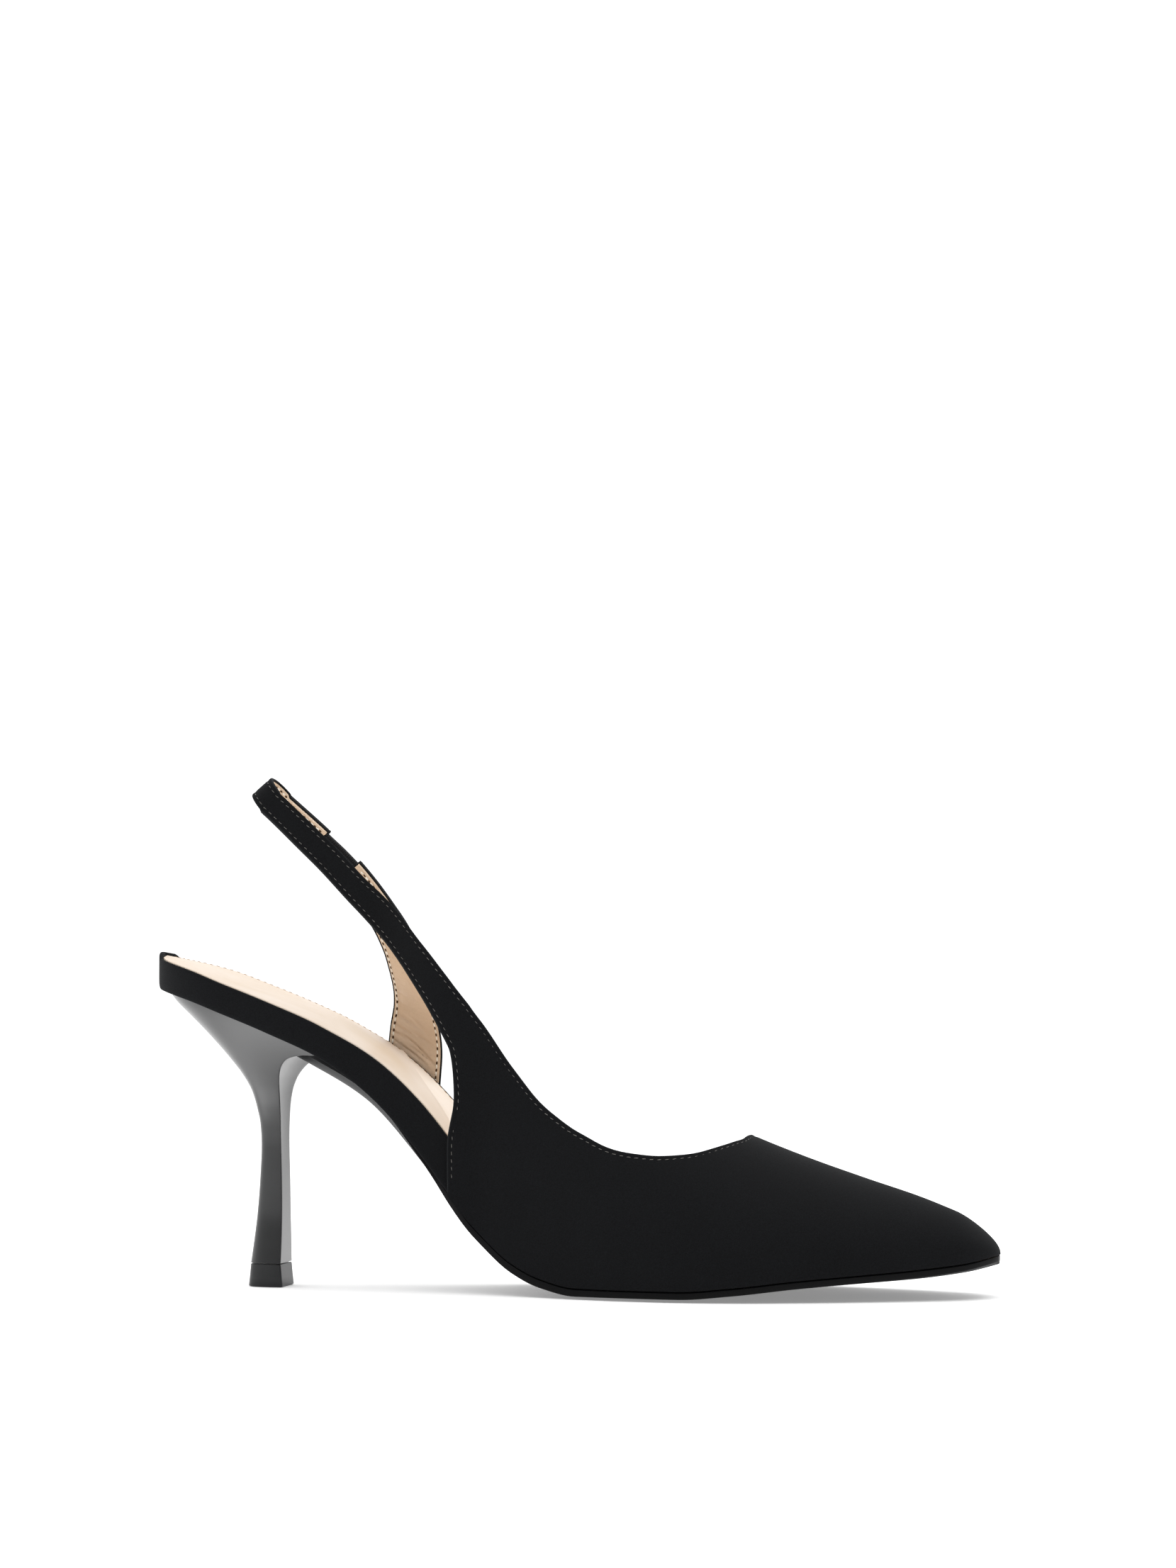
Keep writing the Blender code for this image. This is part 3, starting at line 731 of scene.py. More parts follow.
def board_ring(along):
    """Board wrapped in suede: soft corners, an edge that hangs over the sole, a rim round the sock."""
    x = x_at(along)
    base = bed(x)
    inwards = along * LENGTH - SEAT_TRIM
    lip = SEAT_LIP * (1.0 - ease(SOCK_START, 2.0 * SOCK_START, inwards))
    top = base + board_height(along) + lip
    recess = ease(SOCK_START - 3.0 * CLEAR, SOCK_START - CLEAR, inwards)
    low = base - BOARD_DROOP * SECTION["droop"](along) + 2.0 * seat_end(along) * BOARD_EDGE
    corners = []
    for side in (-1.0, 1.0):
        foot = side_at(along, BOARD_EDGE, side)
        brow = side_at(along, board_height(along), side)
        rim = rim_inside(along, side)
        corner = min(BOARD_EDGE, 0.3 * foot)
        under = min(foot - corner, seat_half(along, side) + CLEAR)
        half = [
            (side * under, base, 0.3 * corner),
            (side * (foot - 0.35 * corner), low, 0.5 * corner),
            (side * foot, low + 0.8 * corner, corner),
            (side * brow, top - 0.1 * corner, 0.8 * corner),
            (side * rim, top, 0.4 * corner),
            (side * (rim - 0.1 * corner), mix(top, base + sock_floor(along), recess), 0.0),
        ]
        corners += half if side < 0 else half[::-1]
    return [(x, point.x, point.y) for point in softened(corners)]


# The line that ends the sock's padded heel part, from the lateral edge back to the medial one
PadLine = namedtuple("PadLine", "y along")
PAD_LINE = [
    PadLine(-0.016, 0.392),
    PadLine(-0.0064, 0.366),
    PadLine(0.0010, 0.330),
    PadLine(0.0117, 0.297),
    PadLine(0.0220, 0.280),
]
pad_line_along = columns_of(PAD_LINE)["along"]


def sock_lift(along, y, half):
    """Crown of the sock's top, and the soft step along its pad line."""
    crown = SOCK_CROWN * (1.0 - (y / half) ** 2)
    ahead = (along - pad_line_along(y)) * LENGTH
    bead = math.exp(-(ahead / PAD_LINE_HALF) ** 2)
    step = 0.5 - 0.5 * math.tanh(ahead / PAD_LINE_HALF)
    return crown + PAD_STEP * step + PAD_BEAD * bead


def sock_half(along, side):
    """Half width of the sock, which lies loose inside the board's rim."""
    rim = rim_inside(along, side)
    return rim - min(CLEAR, 0.3 * rim)


def sock_top(along, y):
    """Point on the sock's top, its edge rounded off."""
    half = sock_half(along, math.copysign(1.0, y))
    edge_drop = 0.5 * SOCK * (1.0 - round_off(half - abs(y), min(0.6 * SOCK, 0.3 * half)))
    low = bed(x_at(along)) + sock_floor(along) + CLEAR
    return Vector((x_at(along), y, low + SOCK - edge_drop + sock_lift(along, y, half)))


def sock_ring(along, across=84):
    """Sock lining in the board's recess, its top finely divided for its relief."""
    x = x_at(along)
    low = bed(x) + sock_floor(along) + CLEAR
    ring = [(x, -sock_half(along, -1.0), low), (x, sock_half(along, 1.0), low)]
    for k in range(across + 1):
        share = math.cos(math.pi * k / across)
        ring.append(sock_top(along, share * sock_half(along, math.copysign(1.0, share))))
    return ring


OUTSOLE_START = along_at(HEEL[-1].front * HEEL_TOP_DEPTH + CLEAR)
TONGUE_START = OUTSOLE_START - TONGUE / LENGTH


def outsole_half(along, side):
    """Half width of the outsole: a rounded tongue at the back, the upper's own width ahead."""
    full = (half_width(along, side) + OUTER - OUTSOLE_INSET) * rounding(along)
    inset = TONGUE_INSET * (1.0 - ease(OUTSOLE_START, OUTSOLE_FLARE_START, along))
    inset += TONGUE_ROUND * (1.0 - round_off((along - TONGUE_START) * LENGTH, TONGUE))
    return mix(seat_half(along, side) - inset, full, ease(OUTSOLE_FLARE_START, OUTSOLE_FLARE_END, along))


def outsole_ring(along, fade, across=16):
    """Sole section; near its back end it bows back into the heel's hollow breast."""
    toe = tip_growth(along, OUTER)
    flat_shank = SHANK_FLAT * (1.0 - ease(OUTSOLE_FLARE_END, TREAD_START, along))
    thick = (OUTSOLE + flat_shank * OUTSOLE_CROWN) * SECTION["sole"](along)
    crown = (1.0 - flat_shank) * OUTSOLE_CROWN * SECTION["sole"](along)
    edge = min(OUTSOLE_EDGE, 0.4 * thick)

    def point(share, inset, height):
        half = outsole_half(along, math.copysign(1.0, share)) - inset
        x = x_at(along) - fade * BREAST_CURVE * (1.0 - share * share) + toe
        return x, share * half, bed(x_at(along)) - CLEAR + height

    def underside(share):
        flat = 1.0 - ease(0.5, 1.0, abs(share))
        return point(share, edge, -thick - crown * flat)

    shares = [mix(-1.0, 1.0, k / across) for k in range(across + 1)]
    ring = [underside(share) for share in shares]
    ring += [point(1.0, 0.3 * edge, 0.3 * edge - thick), point(1.0, 0.0, edge - thick)]
    ring += [point(1.0, 0.0, -0.3 * edge), point(1.0, 0.3 * edge, 0.0)]
    ring += [point(share, 0.5 * edge, 0.0) for share in (0.5, 0.0, -0.5)]
    ring += [point(-1.0, 0.3 * edge, 0.0), point(-1.0, 0.0, -0.3 * edge)]
    ring += [point(-1.0, 0.0, edge - thick), point(-1.0, 0.3 * edge, 0.3 * edge - thick)]
    return ring


def heel_ring(ring, turns=40, breast=16, corner=4):
    """A squarish bow round the back, softened corners, then the hollowed breast."""
    back = ring.back * HEEL_TOP_DEPTH
    front = ring.front * HEEL_TOP_DEPTH
    half = 0.5 * mix(HEEL_NECK_WIDTH, HEEL_TOP_WIDTH, ring.flare)
    floor = TOP_PIECE + CLEAR
    hollow = ring.curve * BREAST_CURVE
    power = 2.0 / mix(SIDE_SQUARENESS, SEAT_SQUARENESS, math.sqrt(ring.flare))

    def bow(k):
        turn = math.pi * (k / turns - 0.5)
        x = front - (front - back) * abs(math.cos(turn)) ** power
        return Vector((x, half * math.copysign(abs(math.sin(turn)) ** power, math.sin(turn))))

    def breast_point(share):
        return Vector((front - hollow * (1.0 - share * share), share * half))

    points = [bow(k) for k in range(1, turns)]
    inset = 1.0 - HEEL_EDGE / half
    for side in (1.0, -1.0):
        tip = Vector((front, side * half))
        ends = [Vector((front - HEEL_EDGE, side * half)), breast_point(side * inset)]
        ends = ends if side > 0 else ends[::-1]
        bend = [ends[0].lerp(tip, k / corner).lerp(tip.lerp(ends[1], k / corner), k / corner)
                for k in range(corner + 1)]
        points += bend
        if side > 0:
            points += [breast_point(inset * (1.0 - 2.0 * k / breast)) for k in range(1, breast)]
    placed = []
    for point in points:
        lift = mix(ring.back_lift, ring.front_lift, (point.x - back) / (front - back))
        top = bed(point.x) - CLEAR
        room = seat_half(along_at(point.x), math.copysign(1.0, point.y))
        room += SEAT_CLEARANCE_SLOPE * (1.0 - ring.back_lift) * (top - floor)
        y = math.copysign(min(abs(point.y), room), point.y)
        placed.append((point.x, y, floor + lift * (top - floor)))
    return placed


def tip_ring(height, inset, flare):
    """One level ring of the top piece: flare is 0 at the heel's size, 1 at its own."""
    bottom = HEEL[0]
    middle = 0.5 * (bottom.back + bottom.front) * HEEL_TOP_DEPTH
    depth = (bottom.front - bottom.back) * HEEL_TOP_DEPTH
    width = mix(HEEL_NECK_WIDTH, HEEL_TOP_WIDTH, bottom.flare)
    grow_x = (mix(depth, TIP_DEPTH, flare) - 2.0 * inset) / depth
    grow_y = (mix(width, TIP_WIDTH, flare) - 2.0 * inset) / width
    return [(middle + (x - middle) * grow_x, y * grow_y, height) for x, y, _ in heel_ring(bottom)]


# Finishes. MIX_A, MIX_B and MIXED are the colour sockets of a Mix node
MIX_A = 6
MIX_B = 7
MIXED = 2


def linear(hex_colour):
    """Linear RGBA of an sRGB hex colour."""
    shares = [int(hex_colour[k:k + 2], 16) / 255.0 for k in (1, 3, 5)]
    return (*(c / 12.92 if c <= 0.04045 else ((c + 0.055) / 1.055) ** 2.4 for c in shares), 1.0)


def connect(node, sockets):
    """Gives sockets of a node what they are to have: another node's output, or a value."""
    for key, value in sockets.items():
        if isinstance(value, bpy.types.NodeSocket):
            node.id_data.links.new(value, node.inputs[key])
        else:
            node.inputs[key].default_value = value


def add(tree, kind, sockets, **settings):
    """Adds a node with its own settings and its sockets connected."""
    node = tree.nodes.new(kind)
    for key, value in settings.items():
        setattr(node, key, value)
    connect(node, sockets)
    return node


def surface(name, sockets):
    """A new material, with its tree, its shader and the piece's own coordinates."""
    material = bpy.data.materials.new(name)
    material.use_nodes = True
    tree = material.node_tree
    shader = tree.nodes["Principled BSDF"]
    connect(shader, sockets)
    place = add(tree, "ShaderNodeTexCoord", {}).outputs["Object"]
    return material, tree, shader, place


def microsuede(name, dark, pale):
    """Brushed microfibre suede: no gloss, a pale bloom where its nap is seen edge-on.

    The nap is a tenth of a millimetre on the real one and is drawn three times as coarse.
    """
    material, tree, shader, place = surface(name, {
        "Roughness": 0.95, "Specular IOR Level": 0.10, "Sheen Weight": 0.030,
        "Sheen Roughness": 0.45, "Sheen Tint": linear("#c8cacd")})
    nap = add(tree, "ShaderNodeTexNoise", {
        "Vector": place, "Scale": 3200.0, "Detail": 3.0, "Roughness": 0.7}).outputs["Fac"]
    stroke = add(tree, "ShaderNodeTexNoise", {
        "Vector": place, "Scale": 45.0, "Detail": 1.0, "Distortion": 0.6}).outputs["Fac"]
    brushed = add(tree, "ShaderNodeMapRange", {"Value": stroke, "To Min": 0.85, "To Max": 1.15})
    blend = add(tree, "ShaderNodeMath", {0: nap, 1: brushed.outputs[0]}, operation="MULTIPLY")
    spread = add(tree, "ShaderNodeMapRange", {
        "Value": blend.outputs[0], "From Min": 0.30, "From Max": 0.70})
    ground = add(tree, "ShaderNodeMix", {
        0: spread.outputs[0], MIX_A: linear(dark), MIX_B: linear(pale)}, data_type="RGBA")
    # Painted highlight: along the free edges the colour is mixed halfway to a paler grey, for the light
    # the rolled edges catch
    edge_highlight = add(tree, "ShaderNodeAttribute", {}, attribute_name="edge_highlight").outputs["Fac"]
    share = add(tree, "ShaderNodeMath", {0: edge_highlight, 1: 0.5}, operation="MULTIPLY")
    highlighted = add(tree, "ShaderNodeMix", {
        0: share.outputs[0], MIX_A: ground.outputs[MIXED], MIX_B: linear("#303234")}, data_type="RGBA")
    fuzz = add(tree, "ShaderNodeBump", {"Height": nap, "Strength": 0.35, "Distance": 0.00012})
    connect(shader, {"Base Color": highlighted.outputs[MIXED], "Normal": fuzz.outputs[0]})
    return material


def lining_leather(name, colour, shade, grain, gloss, coat):
    """Finished lining leather: furrowed pebbles about a millimetre across, cloudy dye, thin finish."""
    material, tree, shader, place = surface(name, {
        "Roughness": gloss, "Coat Weight": coat, "Coat Roughness": 0.18})
    cloud = add(tree, "ShaderNodeTexNoise", {
        "Vector": place, "Scale": 38.0, "Detail": 3.0, "Distortion": 0.4}).outputs["Fac"]
    tone = add(tree, "ShaderNodeMapRange", {"Value": cloud, "From Min": 0.38, "From Max": 0.68})
    dye = add(tree, "ShaderNodeMix", {
        0: tone.outputs[0], MIX_A: linear(colour), MIX_B: linear(shade)}, data_type="RGBA")
    pebble = add(tree, "ShaderNodeTexVoronoi", {
        "Vector": place, "Scale": 800.0, "Randomness": 1.0}, feature="DISTANCE_TO_EDGE")
    furrow = add(tree, "ShaderNodeMapRange", {
        "Value": pebble.outputs["Distance"], "From Max": 0.35}, interpolation_type="SMOOTHSTEP")
    wear = add(tree, "ShaderNodeTexNoise", {"Vector": place, "Scale": 420.0, "Detail": 4.0})
    relief = add(tree, "ShaderNodeMath", {
        0: furrow.outputs[0], 1: wear.outputs["Fac"]}, operation="ADD")
    bump = add(tree, "ShaderNodeBump", {
        "Height": relief.outputs[0], "Strength": grain, "Distance": 0.00012})
    connect(shader, {"Base Color": dye.outputs[MIXED], "Normal": bump.outputs[0]})
    return material


def thread(name, colour, shade):
    """Twisted polyester sewing thread, slightly shiny; its ply is drawn as a fine slanted bump."""
    material, tree, shader, place = surface(name, {"Roughness": 0.55, "Sheen Weight": 0.1})
    tone = add(tree, "ShaderNodeTexNoise", {"Vector": place, "Scale": 900.0})
    dye = add(tree, "ShaderNodeMix", {
        0: tone.outputs["Fac"], MIX_A: linear(colour), MIX_B: linear(shade)}, data_type="RGBA")
    ply = add(tree, "ShaderNodeTexWave", {"Vector": place, "Scale": 1500.0}, bands_direction="DIAGONAL")
    bump = add(tree, "ShaderNodeBump", {
        "Height": ply.outputs["Fac"], "Strength": 0.5, "Distance": 0.00003})
    connect(shader, {"Base Color": dye.outputs[MIXED], "Normal": bump.outputs[0]})
    return material


def needle_hole_shade():
    """Painted shade for the needle holes: dark brown, where the pierced leather lies in shade."""
    material, tree, shader, place = surface("needle_holes_painted_shade", {
        "Roughness": 0.9, "Specular IOR Level": 0.1})
    tone = add(tree, "ShaderNodeTexNoise", {"Vector": place, "Scale": 800.0})
    dark = add(tree, "ShaderNodeMix", {
        0: tone.outputs["Fac"], MIX_A: linear("#3a2c20"), MIX_B: linear("#5a4634")}, data_type="RGBA")
    connect(shader, {"Base Color": dark.outputs[MIXED]})
    return material


def elastic_tape():
    """Knitted elastic tape: ribs a millimetre apart along its length, stitches half as long across."""
    material, tree, shader, _ = surface("elastic_tape_black", {
        "Roughness": 0.85, "Specular IOR Level": 0.15, "Sheen Weight": 0.08})
    cloth = add(tree, "ShaderNodeUVMap", {}, uv_map="tape").outputs["UV"]
    ribs = add(tree, "ShaderNodeTexWave", {"Vector": cloth, "Scale": 320.0}, bands_direction="Y")
    loops = add(tree, "ShaderNodeTexWave", {
        "Vector": cloth, "Scale": 620.0, "Distortion": 1.0}, bands_direction="X")
    knit = add(tree, "ShaderNodeMath", {
        0: ribs.outputs["Fac"], 1: loops.outputs["Fac"]}, operation="MULTIPLY").outputs[0]
    yarn = add(tree, "ShaderNodeMix", {
        0: knit, MIX_A: linear("#121214"), MIX_B: linear("#2c2d30")}, data_type="RGBA")
    bump = add(tree, "ShaderNodeBump", {"Height": knit, "Strength": 0.7, "Distance": 0.00015})
    connect(shader, {"Base Color": yarn.outputs[MIXED], "Normal": bump.outputs[0]})
    return material


def heel_lacquer():
    """Moulded plastic heel, sprayed with black lacquer: smooth, with a faint orange peel."""
    material, tree, shader, place = surface("heel_lacquer_black", {
        "Roughness": 0.31, "IOR": 1.55, "Coat Weight": 0.3, "Coat Roughness": 0.24})
    cloud = add(tree, "ShaderNodeTexNoise", {"Vector": place, "Scale": 90.0, "Detail": 2.0})
    tone = add(tree, "ShaderNodeMix", {
        0: cloud.outputs["Fac"], MIX_A: linear("#0c0d0e"), MIX_B: linear("#141517")}, data_type="RGBA")
    peel = add(tree, "ShaderNodeTexNoise", {"Vector": place, "Scale": 600.0, "Detail": 1.0})
    bump = add(tree, "ShaderNodeBump", {
        "Height": peel.outputs["Fac"], "Strength": 0.06, "Distance": 0.0001})
    connect(shader, {"Base Color": tone.outputs[MIXED], "Normal": bump.outputs[0]})
    return material


def moulded_rubber(name, dark, pale, roughness, specular, speckle):
    """Moulded rubber sheet: satin, very finely stippled, with faint paler rubs."""
    material, tree, shader, place = surface(name, {
        "Roughness": roughness, "Specular IOR Level": specular})
    rubs = add(tree, "ShaderNodeTexNoise", {
        "Vector": place, "Scale": 60.0, "Detail": 5.0, "Roughness": 0.65}).outputs["Fac"]
    tone = add(tree, "ShaderNodeMapRange", {"Value": rubs, "From Min": 0.35, "From Max": 0.75})
    mixed = add(tree, "ShaderNodeMix", {
        0: tone.outputs[0], MIX_A: linear(dark), MIX_B: linear(pale)}, data_type="RGBA")
    stipple = add(tree, "ShaderNodeTexNoise", {"Vector": place, "Scale": 1800.0, "Detail": 2.0})
    bump = add(tree, "ShaderNodeBump", {
        "Height": stipple.outputs["Fac"], "Strength": speckle, "Distance": 0.0001})
    connect(shader, {"Base Color": mixed.outputs[MIXED], "Normal": bump.outputs[0]})
    return material


# The sock is a paler, smoother leather than the linings; the pad under its heel is the same
# leather painted a shade darker, as painted shade where it slopes away. The sole's edge is inked
# matt, which keeps it as dark as the suede above it
SUEDE_BLACK = microsuede("microsuede_black", "#0e0e0f", "#17181a")
LINING_BEIGE = lining_leather("lining_leather_beige", "#dcc4aa", "#ccb295", 0.45, 0.42, 0.12)
SOCK_NUDE = lining_leather("sock_leather_nude", "#e9dbcc", "#e1cfba", 0.10, 0.50, 0.06)
# Painted shade: the heel pad is the sock's own leather, a shade darker
SOCK_PAD_SHADED = lining_leather("sock_heel_pad_painted_shade", "#dccdbe", "#d3c0aa", 0.10, 0.50, 0.06)
THREAD_GREY = thread("thread_grey", "#403e3c", "#7a7670")
THREAD_BEIGE = thread("thread_beige", "#fbf6ec", "#e6dccb")
THREAD_TAN = thread("thread_tan", "#b08a62", "#a07a55")
NEEDLE_HOLE_SHADE = needle_hole_shade()
ELASTIC_BLACK = elastic_tape()
LACQUER_BLACK = heel_lacquer()
OUTSOLE_RUBBER = moulded_rubber("outsole_rubber", "#0c0d0e", "#121315", 0.52, 0.12, 0.10)
EDGE_INK = moulded_rubber("outsole_edge_ink", "#0a0a0b", "#0f0f10", 0.60, 0.1, 0.15)
TIP_RUBBER = moulded_rubber("top_piece_rubber", "#141516", "#1d1e20", 0.34, 0.3, 0.15)


# Creases in the band's lining just over the sock: height over the sock at start, its change to
# end, depth and half width in metres; start and end are places along the piece
Crease = namedtuple("Crease", "start end height rise depth half")
BAND_CREASES = [
    Crease(0.030, 0.041, 0.0012, 0.0006, 0.00051, 0.00045),
    Crease(0.024, 0.032, 0.0020, -0.0004, 0.00039, 0.00045),
    Crease(0.034, 0.044, 0.0028, 0.0012, 0.00054, 0.00050),
    Crease(0.026, 0.036, 0.0036, 0.0010, 0.00048, 0.00045),
    Crease(0.032, 0.043, 0.0050, -0.0008, 0.00054, 0.00050),
    Crease(0.023, 0.030, 0.0052, 0.0014, 0.00036, 0.00045),
    Crease(0.028, 0.038, 0.0064, 0.0004, 0.00051, 0.00050),
    Crease(0.035, 0.043, 0.0076, 0.0016, 0.00045, 0.00050),
    Crease(0.024, 0.033, 0.0084, -0.0010, 0.00042, 0.00045),
    Crease(0.030, 0.040, 0.0098, 0.0010, 0.00045, 0.00050),
    Crease(0.025, 0.032, 0.0112, 0.0012, 0.00033, 0.00050),
    Crease(0.033, 0.041, 0.0120, -0.0006, 0.00036, 0.00050),
    Crease(0.028, 0.037, 0.0136, 0.0014, 0.00030, 0.00055),
    Crease(0.024, 0.031, 0.0152, 0.0004, 0.00024, 0.00055),
    Crease(0.031, 0.039, 0.0170, 0.0012, 0.00021, 0.00060),
]


def band_creases(point):
    """Troughs in the lining, each one fading out at its ends."""
    along = along_at(point.x)
    over_sock = point.z - bed(point.x) - board_height(along)
    lift = 0.0
    for crease in BAND_CREASES:
        share = (point.x - crease.start) / (crease.end - crease.start)
        if 0.0 < share < 1.0:
            off = (over_sock - crease.height - crease.rise * share) / crease.half
            lift += crease.depth * math.sin(math.pi * share) * math.exp(-off * off)
    return lift


def suede_shell(lines, middle):
    return shell(lines, middle, OUTER, OUTER - SUEDE, FOLD_ROUND, seam_depth=SEAM_DEPTH)


def lining_shell(lines, middle, relief=None):
    return shell(lines, middle, CLEAR, OUTER - SUEDE, LINING_ROUND, back=LINING_BACK, relief=relief)


def upper():
    suede = suede_shell(upper_lines(vamp_stations(0.0), steps=8), middle=24)
    as_piece("upper_suede", suede, SUEDE_BLACK, ["upper"])
    lines = upper_lines(vamp_stations(LINING_BACK), steps=6, end_back=LINING_END)
    lining = lining_shell(lines, middle=16)
    as_piece("upper_lining", lining, LINING_BEIGE)


def band_lines(steps, start=0.0):
    """Lines across the medial band, so many steps to a row of its table."""
    end = len(BAND_ROWS) - 1
    places = steps_between(start, end, round(steps * (end - start)))
    return [cross_line(band_cross(index), 1.0)._replace(low_free=True) for index in places]


def medial_band():
    suede = suede_shell(band_lines(steps=12), middle=20)
    as_piece("medial_band_suede", suede, SUEDE_BLACK, ["medial_band"])
    lining = lining_shell(band_lines(steps=24, start=LINING_END), middle=24, relief=band_creases)
    as_piece("medial_band_lining", lining, LINING_BEIGE)


def elastic():
    """Tape between the strap's end and the band, its UV map in metres along and across it."""
    ends = [cross_line(far_cross(index), 1.0) for index in (SLING_END, BAND_START)]
    run = (line_point(ends[0], 0.5, OUTER) - line_point(ends[1], 0.5, OUTER)).length
    sewn_in = ELASTIC_SEWN_IN * (SLING_END - BAND_START) / run
    places = steps_between(SLING_END + sewn_in, BAND_START - sewn_in, ELASTIC_ROWS)
    lines = [cross_line(far_cross(index), 1.0) for index in places]
    inset = ELASTIC_INSET / STRAP_WIDTH
    middle = 0.5 * (OUTER + CLEAR)

    def narrowed(line):
        cross = line.value
        low, top = (
            (mix(cross.low_along, cross.top_along, share), mix(cross.low_angle, cross.top_angle, share))
            for share in (inset, 1.0 - inset))
        return line._replace(value=Cross(*low, *top))

    bm = shell([narrowed(line) for line in lines], 24, middle + 0.5 * ELASTIC_WALL,
               middle - 0.5 * ELASTIC_WALL, 0.4 * ELASTIC_WALL)
    tape = bm.loops.layers.uv.new("tape")
    row_layer = bm.verts.layers.int["row"]
    for face in bm.faces:
        for loop in face.loops:
            run_share = loop.vert[row_layer] / (len(lines) - 1)
            centre = line_point(lines[loop.vert[row_layer]], 0.0, OUTER)
            loop[tape].uv = (run_share * run, (loop.vert.co - centre).length)
    as_piece("elastic_tape", bm, ELASTIC_BLACK, ["elastic"])


def footbed():
    rings = [board_ring(along) for along in board_stations()]
    as_piece("footbed_suede", tube(rings), SUEDE_BLACK, ["footbed"])


def sock_lining():
    """The sock, its rings close together where the pad ends; the faces behind that line are the pad's,
    painted darker as shade.
    """
    stations = spaced(SEAT_END, (SEAT_TRIM + SOCK_START) / LENGTH, SEAT_RINGS)[::-1]
    coarse = [along for along in board_stations() if SEAT_END < along < SOCK_END]
    stations += [along for along in coarse if not PAD_START <= along <= PAD_END]
    stations += steps_between(PAD_START, PAD_END, PAD_RINGS)
    bm = tube([sock_ring(along) for along in sorted(stations)])
    for face in bm.faces:
        middle = face.calc_center_median()
        face.material_index = 1 if along_at(middle.x) < pad_line_along(middle.y) else 0
    sock = as_piece("sock_leather", bm, SOCK_NUDE, ["sock_lining"])
    sock.data.materials.append(SOCK_PAD_SHADED)


def outsole():
    """The sole from its tongue under the heel to the toe; the faces that stand up are inked."""
    stations = spaced(OUTSOLE_START, TONGUE_START, TONGUE_RINGS)[:0:-1]
    stations += steps_between(OUTSOLE_START, TREAD_START, SHANK_RINGS)
    stations += steps_between(TREAD_START, TREAD_END, TREAD_RINGS)[1:]
    stations += spaced(TREAD_END, OUTSOLE_END, SPRING_RINGS)[1:]
    rings = [outsole_ring(along, 1.0 - ease(OUTSOLE_START, BREAST_FADE, along)) for along in stations]
    bm = tube(rings)
    bm.normal_update()
    for face in bm.faces:
        face.material_index = 1 if abs(face.normal.z) < 0.5 else 0
    sheet = as_piece("outsole_sheet", bm, OUTSOLE_RUBBER, ["outsole"], sharp=30.0)
    sheet.data.materials.append(EDGE_INK)


def heel():
    rows = len(HEEL) - 1
    rings = [heel_ring(heel_at(index)) for index in steps_between(0.0, rows, HEEL_STEPS * rows)]
    as_piece("heel_block", tube(rings), LACQUER_BLACK, ["heel"])


def top_piece():
    rings = [
        tip_ring(0.0, TOP_PIECE_CHAMFER, 1.0),
        tip_ring(0.4 * TOP_PIECE_CHAMFER, 0.3 * TOP_PIECE_CHAMFER, 1.0),
        tip_ring(TOP_PIECE_CHAMFER, 0.0, 1.0),
        tip_ring(0.5 * TOP_PIECE, 0.0, 0.5),
        tip_ring(TOP_PIECE - TOP_PIECE_GROOVE, 0.0, 0.0),
        tip_ring(TOP_PIECE, TOP_PIECE_GROOVE, 0.0),
    ]
    as_piece("top_piece_block", tube(rings), TIP_RUBBER, ["top_piece"])


def seam_line(lines, edge):
    """(line, share) pairs that lie SEAM_INSET inside one free edge."""
    edges = free_edges(lines, 0.0, OUTER)
    seam = []
    for line in lines:
        step = min(SEAM_STEP / line_width(line), 0.1)
        shares = [min(k * step, 1.0) for k in range(1 + math.ceil(1.0 / step))]
        if edge == "top":
            shares = [1.0 - share for share in shares]
        reach = [edges.find(line_point(line, share, OUTER))[2] for share in shares[:1]]
        if reach[0] >= SEAM_INSET:
            continue
        for share in shares[1:]:
            reach.append(edges.find(line_point(line, share, OUTER))[2])
            if reach[-1] >= SEAM_INSET:
                excess = (reach[-1] - SEAM_INSET) / (reach[-1] - reach[-2])
                back = math.copysign(excess * step, 1.0 if edge == "top" else -1.0)
                seam.append((line, share + back))
                break
    return seam


def on_face(seam, grow, outward):
    """Places of a seam on one face of the wall, each with its way out of that face."""
    path = []
    for line, share in seam:
        place = line_point(line, share, grow)
        out = (line_point(line, share, grow + 0.1 * WALL) - place).normalized()
        path.append((place, out * outward))
    return path


def stitch_places(paths, phase=0.5):
    """(place, direction, way out) of the stitches, STITCH_PITCH apart along each path."""
    places = []
    for path in paths:
        wait = phase * STITCH_PITCH
        for (start, out), (end, _) in zip(path, path[1:]):
            step = end - start
            run = step.length
            while run > MERGE and wait < run:
                places.append((start + step * (wait / run), step / run, out))
                wait += STITCH_PITCH
            wait -= run
    return places


def sewn(name, places, size, sink, material, slant=STITCH_SLANT):
    """Small rounded stitches or holes of one size, sunk into the skin at each place."""
    bm = bmesh.new()
    stitch = bpy.data.meshes.new(name + "_one")
    for place, direction, out in places:
        across = out.cross(direction).normalized()
        up = direction.cross(across).normalized()
        turned = direction * math.cos(slant) + across * math.sin(slant)
        beside = up.cross(turned)
        turn = Matrix((turned, beside, up)).transposed().to_4x4()
        matrix = Matrix.Translation(place - up * sink) @ turn @ Matrix.Diagonal((*size, 1.0))
        one = bmesh.new()
        bmesh.ops.create_uvsphere(one, u_segments=8, v_segments=4, radius=0.5, matrix=matrix)
        one.to_mesh(stitch)
        one.free()
        bm.from_mesh(stitch)
    bpy.data.meshes.remove(stitch)
    as_piece(name, bm, material, sharp=180.0)


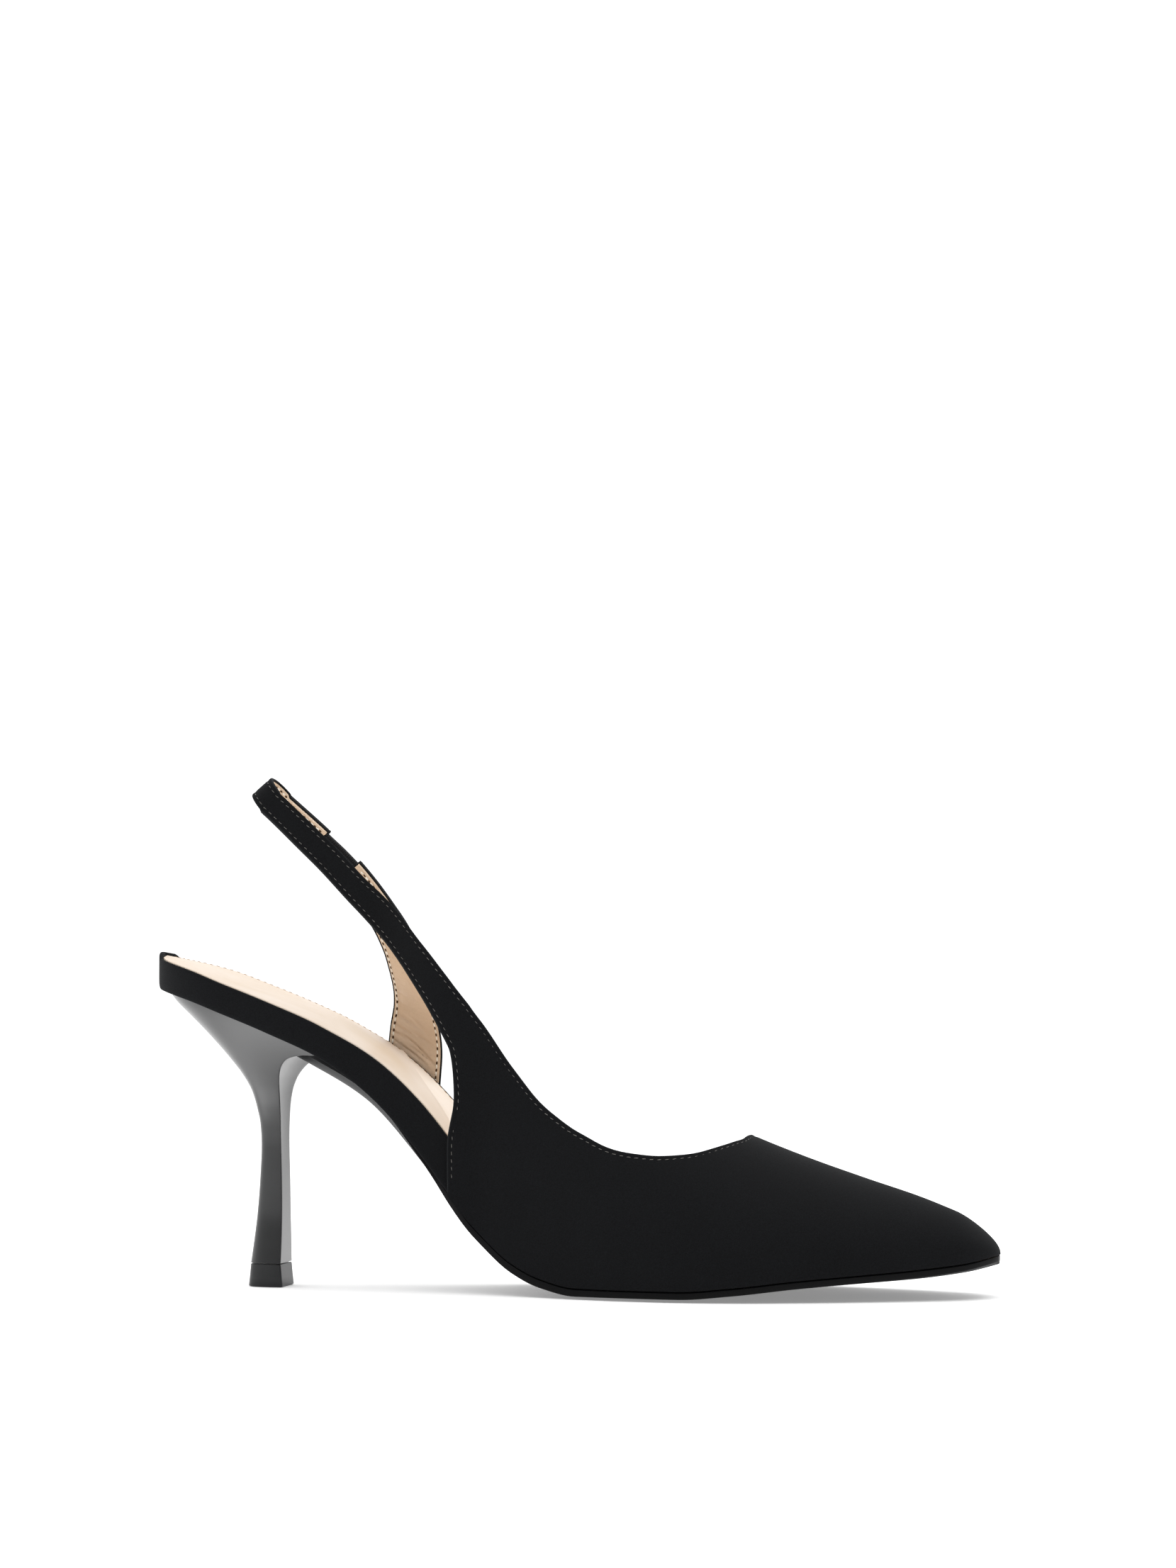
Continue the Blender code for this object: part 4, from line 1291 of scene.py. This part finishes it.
def sock_seam():
    """Path of the seam inside the sock's medial edge, from the waist back to the seat's end."""
    path = []
    start = (SEAT_TRIM + SOCK_START + SOCK_STITCH_INSET) / LENGTH
    for along in spaced(SOCK_STITCH_END, start, SOCK_SEAM_STEPS):
        behind = sock_half(along - SOCK_STITCH_INSET / LENGTH, 1.0)
        y = min(sock_half(along, 1.0) - SOCK_STITCH_INSET, behind)
        place = sock_top(along, y)
        slope = sock_top(along + SLOPE_STEP, y) - place
        path.append((place, slope.cross(Vector((0.0, -1.0, 0.0))).normalized()))
    return path


def stitching():
    """Seams along the edges of upper and band, tacks where the elastic is sewn in, the sock's seam."""
    throat = MEDIAL[0].top_along
    vamp = steps_between(throat, throat + 1.5 * SEAM_INSET / LENGTH, 8)[1:]
    sheets = (upper_lines(vamp, steps=10), band_lines(steps=12))
    seams = [seam_line(lines, edge) for lines in sheets for edge in ("top", "low")]
    tacks = [cross_line(far_cross(SLING_END + TACK_BACK), 1.0), cross_line(band_cross(TACK_BACK), 1.0)]
    seams += [[(line, share) for share in TACK_SHARES] for line in tacks]
    outside = stitch_places([on_face(seam, OUTER, 1.0) for seam in seams])
    sewn("stitches_outside", outside, TOP_STITCH, SEAM_DEPTH, THREAD_GREY)
    paths = [on_face(seam, CLEAR, -1.0) for seam in seams]
    sewn("stitches_inside", stitch_places(paths), LOCK_STITCH, 0.0, THREAD_BEIGE)
    # Needle holes as dark marks at the ends of the stitches: painted shade inside each hole
    holes = stitch_places(paths, phase=1.0)
    sewn("needle_hole_shade_marks", holes, NEEDLE_HOLE, 0.0, NEEDLE_HOLE_SHADE, slant=0.0)
    sewn("stitches_sock", stitch_places([sock_seam()]), SOCK_STITCH, 0.0, THREAD_TAN)


def camera():
    data = bpy.data.cameras.new("camera")
    data.sensor_width = SENSOR
    data.lens = CAMERA_FOCUS_PIXELS / FRAME_HEIGHT * SENSOR
    placed = bpy.data.objects.new("camera", data)
    placed.location = CAMERA_PLACE
    placed.rotation_euler = (math.pi / 2.0 + CAMERA_PITCH, 0.0, CAMERA_YAW)
    bpy.context.scene.collection.objects.link(placed)
    bpy.context.scene.camera = placed


def softbox(name, place, target, size, power):
    data = bpy.data.lights.new(name, "AREA")
    data.shape = "RECTANGLE"
    data.size, data.size_y = size
    data.energy = power
    light = bpy.data.objects.new(name, data)
    light.location = place
    light.rotation_euler = (Vector(target) - Vector(place)).to_track_quat("-Z", "Y").to_euler()
    bpy.context.scene.collection.objects.link(light)


def room():
    """White behind the shoe and dim behind the camera, so that glossy pieces keep a dark side."""
    world = bpy.data.worlds.new("studio")
    world.use_nodes = True
    tree = world.node_tree
    way = add(tree, "ShaderNodeTexCoord", {}).outputs["Generated"]
    depth = add(tree, "ShaderNodeVectorMath", {0: way, 1: WHITE_SIDE}, operation="DOT_PRODUCT")
    strength = add(tree, "ShaderNodeMapRange", {
        "Value": depth.outputs["Value"], "From Min": ROOM_FADE[0], "From Max": ROOM_FADE[1],
        "To Min": ROOM_DIM, "To Max": ROOM_WHITE}, interpolation_type="SMOOTHSTEP")
    connect(tree.nodes["Background"], {"Color": linear("#ffffff"), "Strength": strength.outputs[0]})
    bpy.context.scene.world = world


def table():
    """White floor that glows a little, and more in a patch beside the heel, which lights its flare."""
    bm = bmesh.new()
    bmesh.ops.create_grid(bm, x_segments=1, y_segments=1, size=FLOOR_HALF)
    mesh = bpy.data.meshes.new("floor")
    bm.to_mesh(mesh)
    bm.free()
    material, tree, shader, place = surface("studio_floor_white", {
        "Base Color": FLOOR_WHITE, "Roughness": 0.9, "Specular IOR Level": 0.1,
        "Emission Color": linear("#ffffff")})
    reach = add(tree, "ShaderNodeVectorMath", {0: place, 1: BOUNCE_PLACE}, operation="DISTANCE")
    glow = add(tree, "ShaderNodeMapRange", {
        "Value": reach.outputs["Value"], "From Max": BOUNCE_REACH,
        "To Min": BOUNCE_GLOW, "To Max": FLOOR_GLOW}, interpolation_type="SMOOTHSTEP")
    connect(shader, {"Emission Strength": glow.outputs[0]})
    mesh.materials.append(material)
    floor = bpy.data.objects.new("floor", mesh)
    bpy.context.scene.collection.objects.link(floor)


def studio():
    bpy.context.scene.view_settings.view_transform = "Standard"
    room()
    table()
    softbox("top_light", TOP_LIGHT_PLACE, TOP_LIGHT_TARGET, TOP_LIGHT_SIZE, TOP_LIGHT_POWER)


camera()
upper()
medial_band()
elastic()
footbed()
sock_lining()
outsole()
heel()
top_piece()
stitching()
studio()
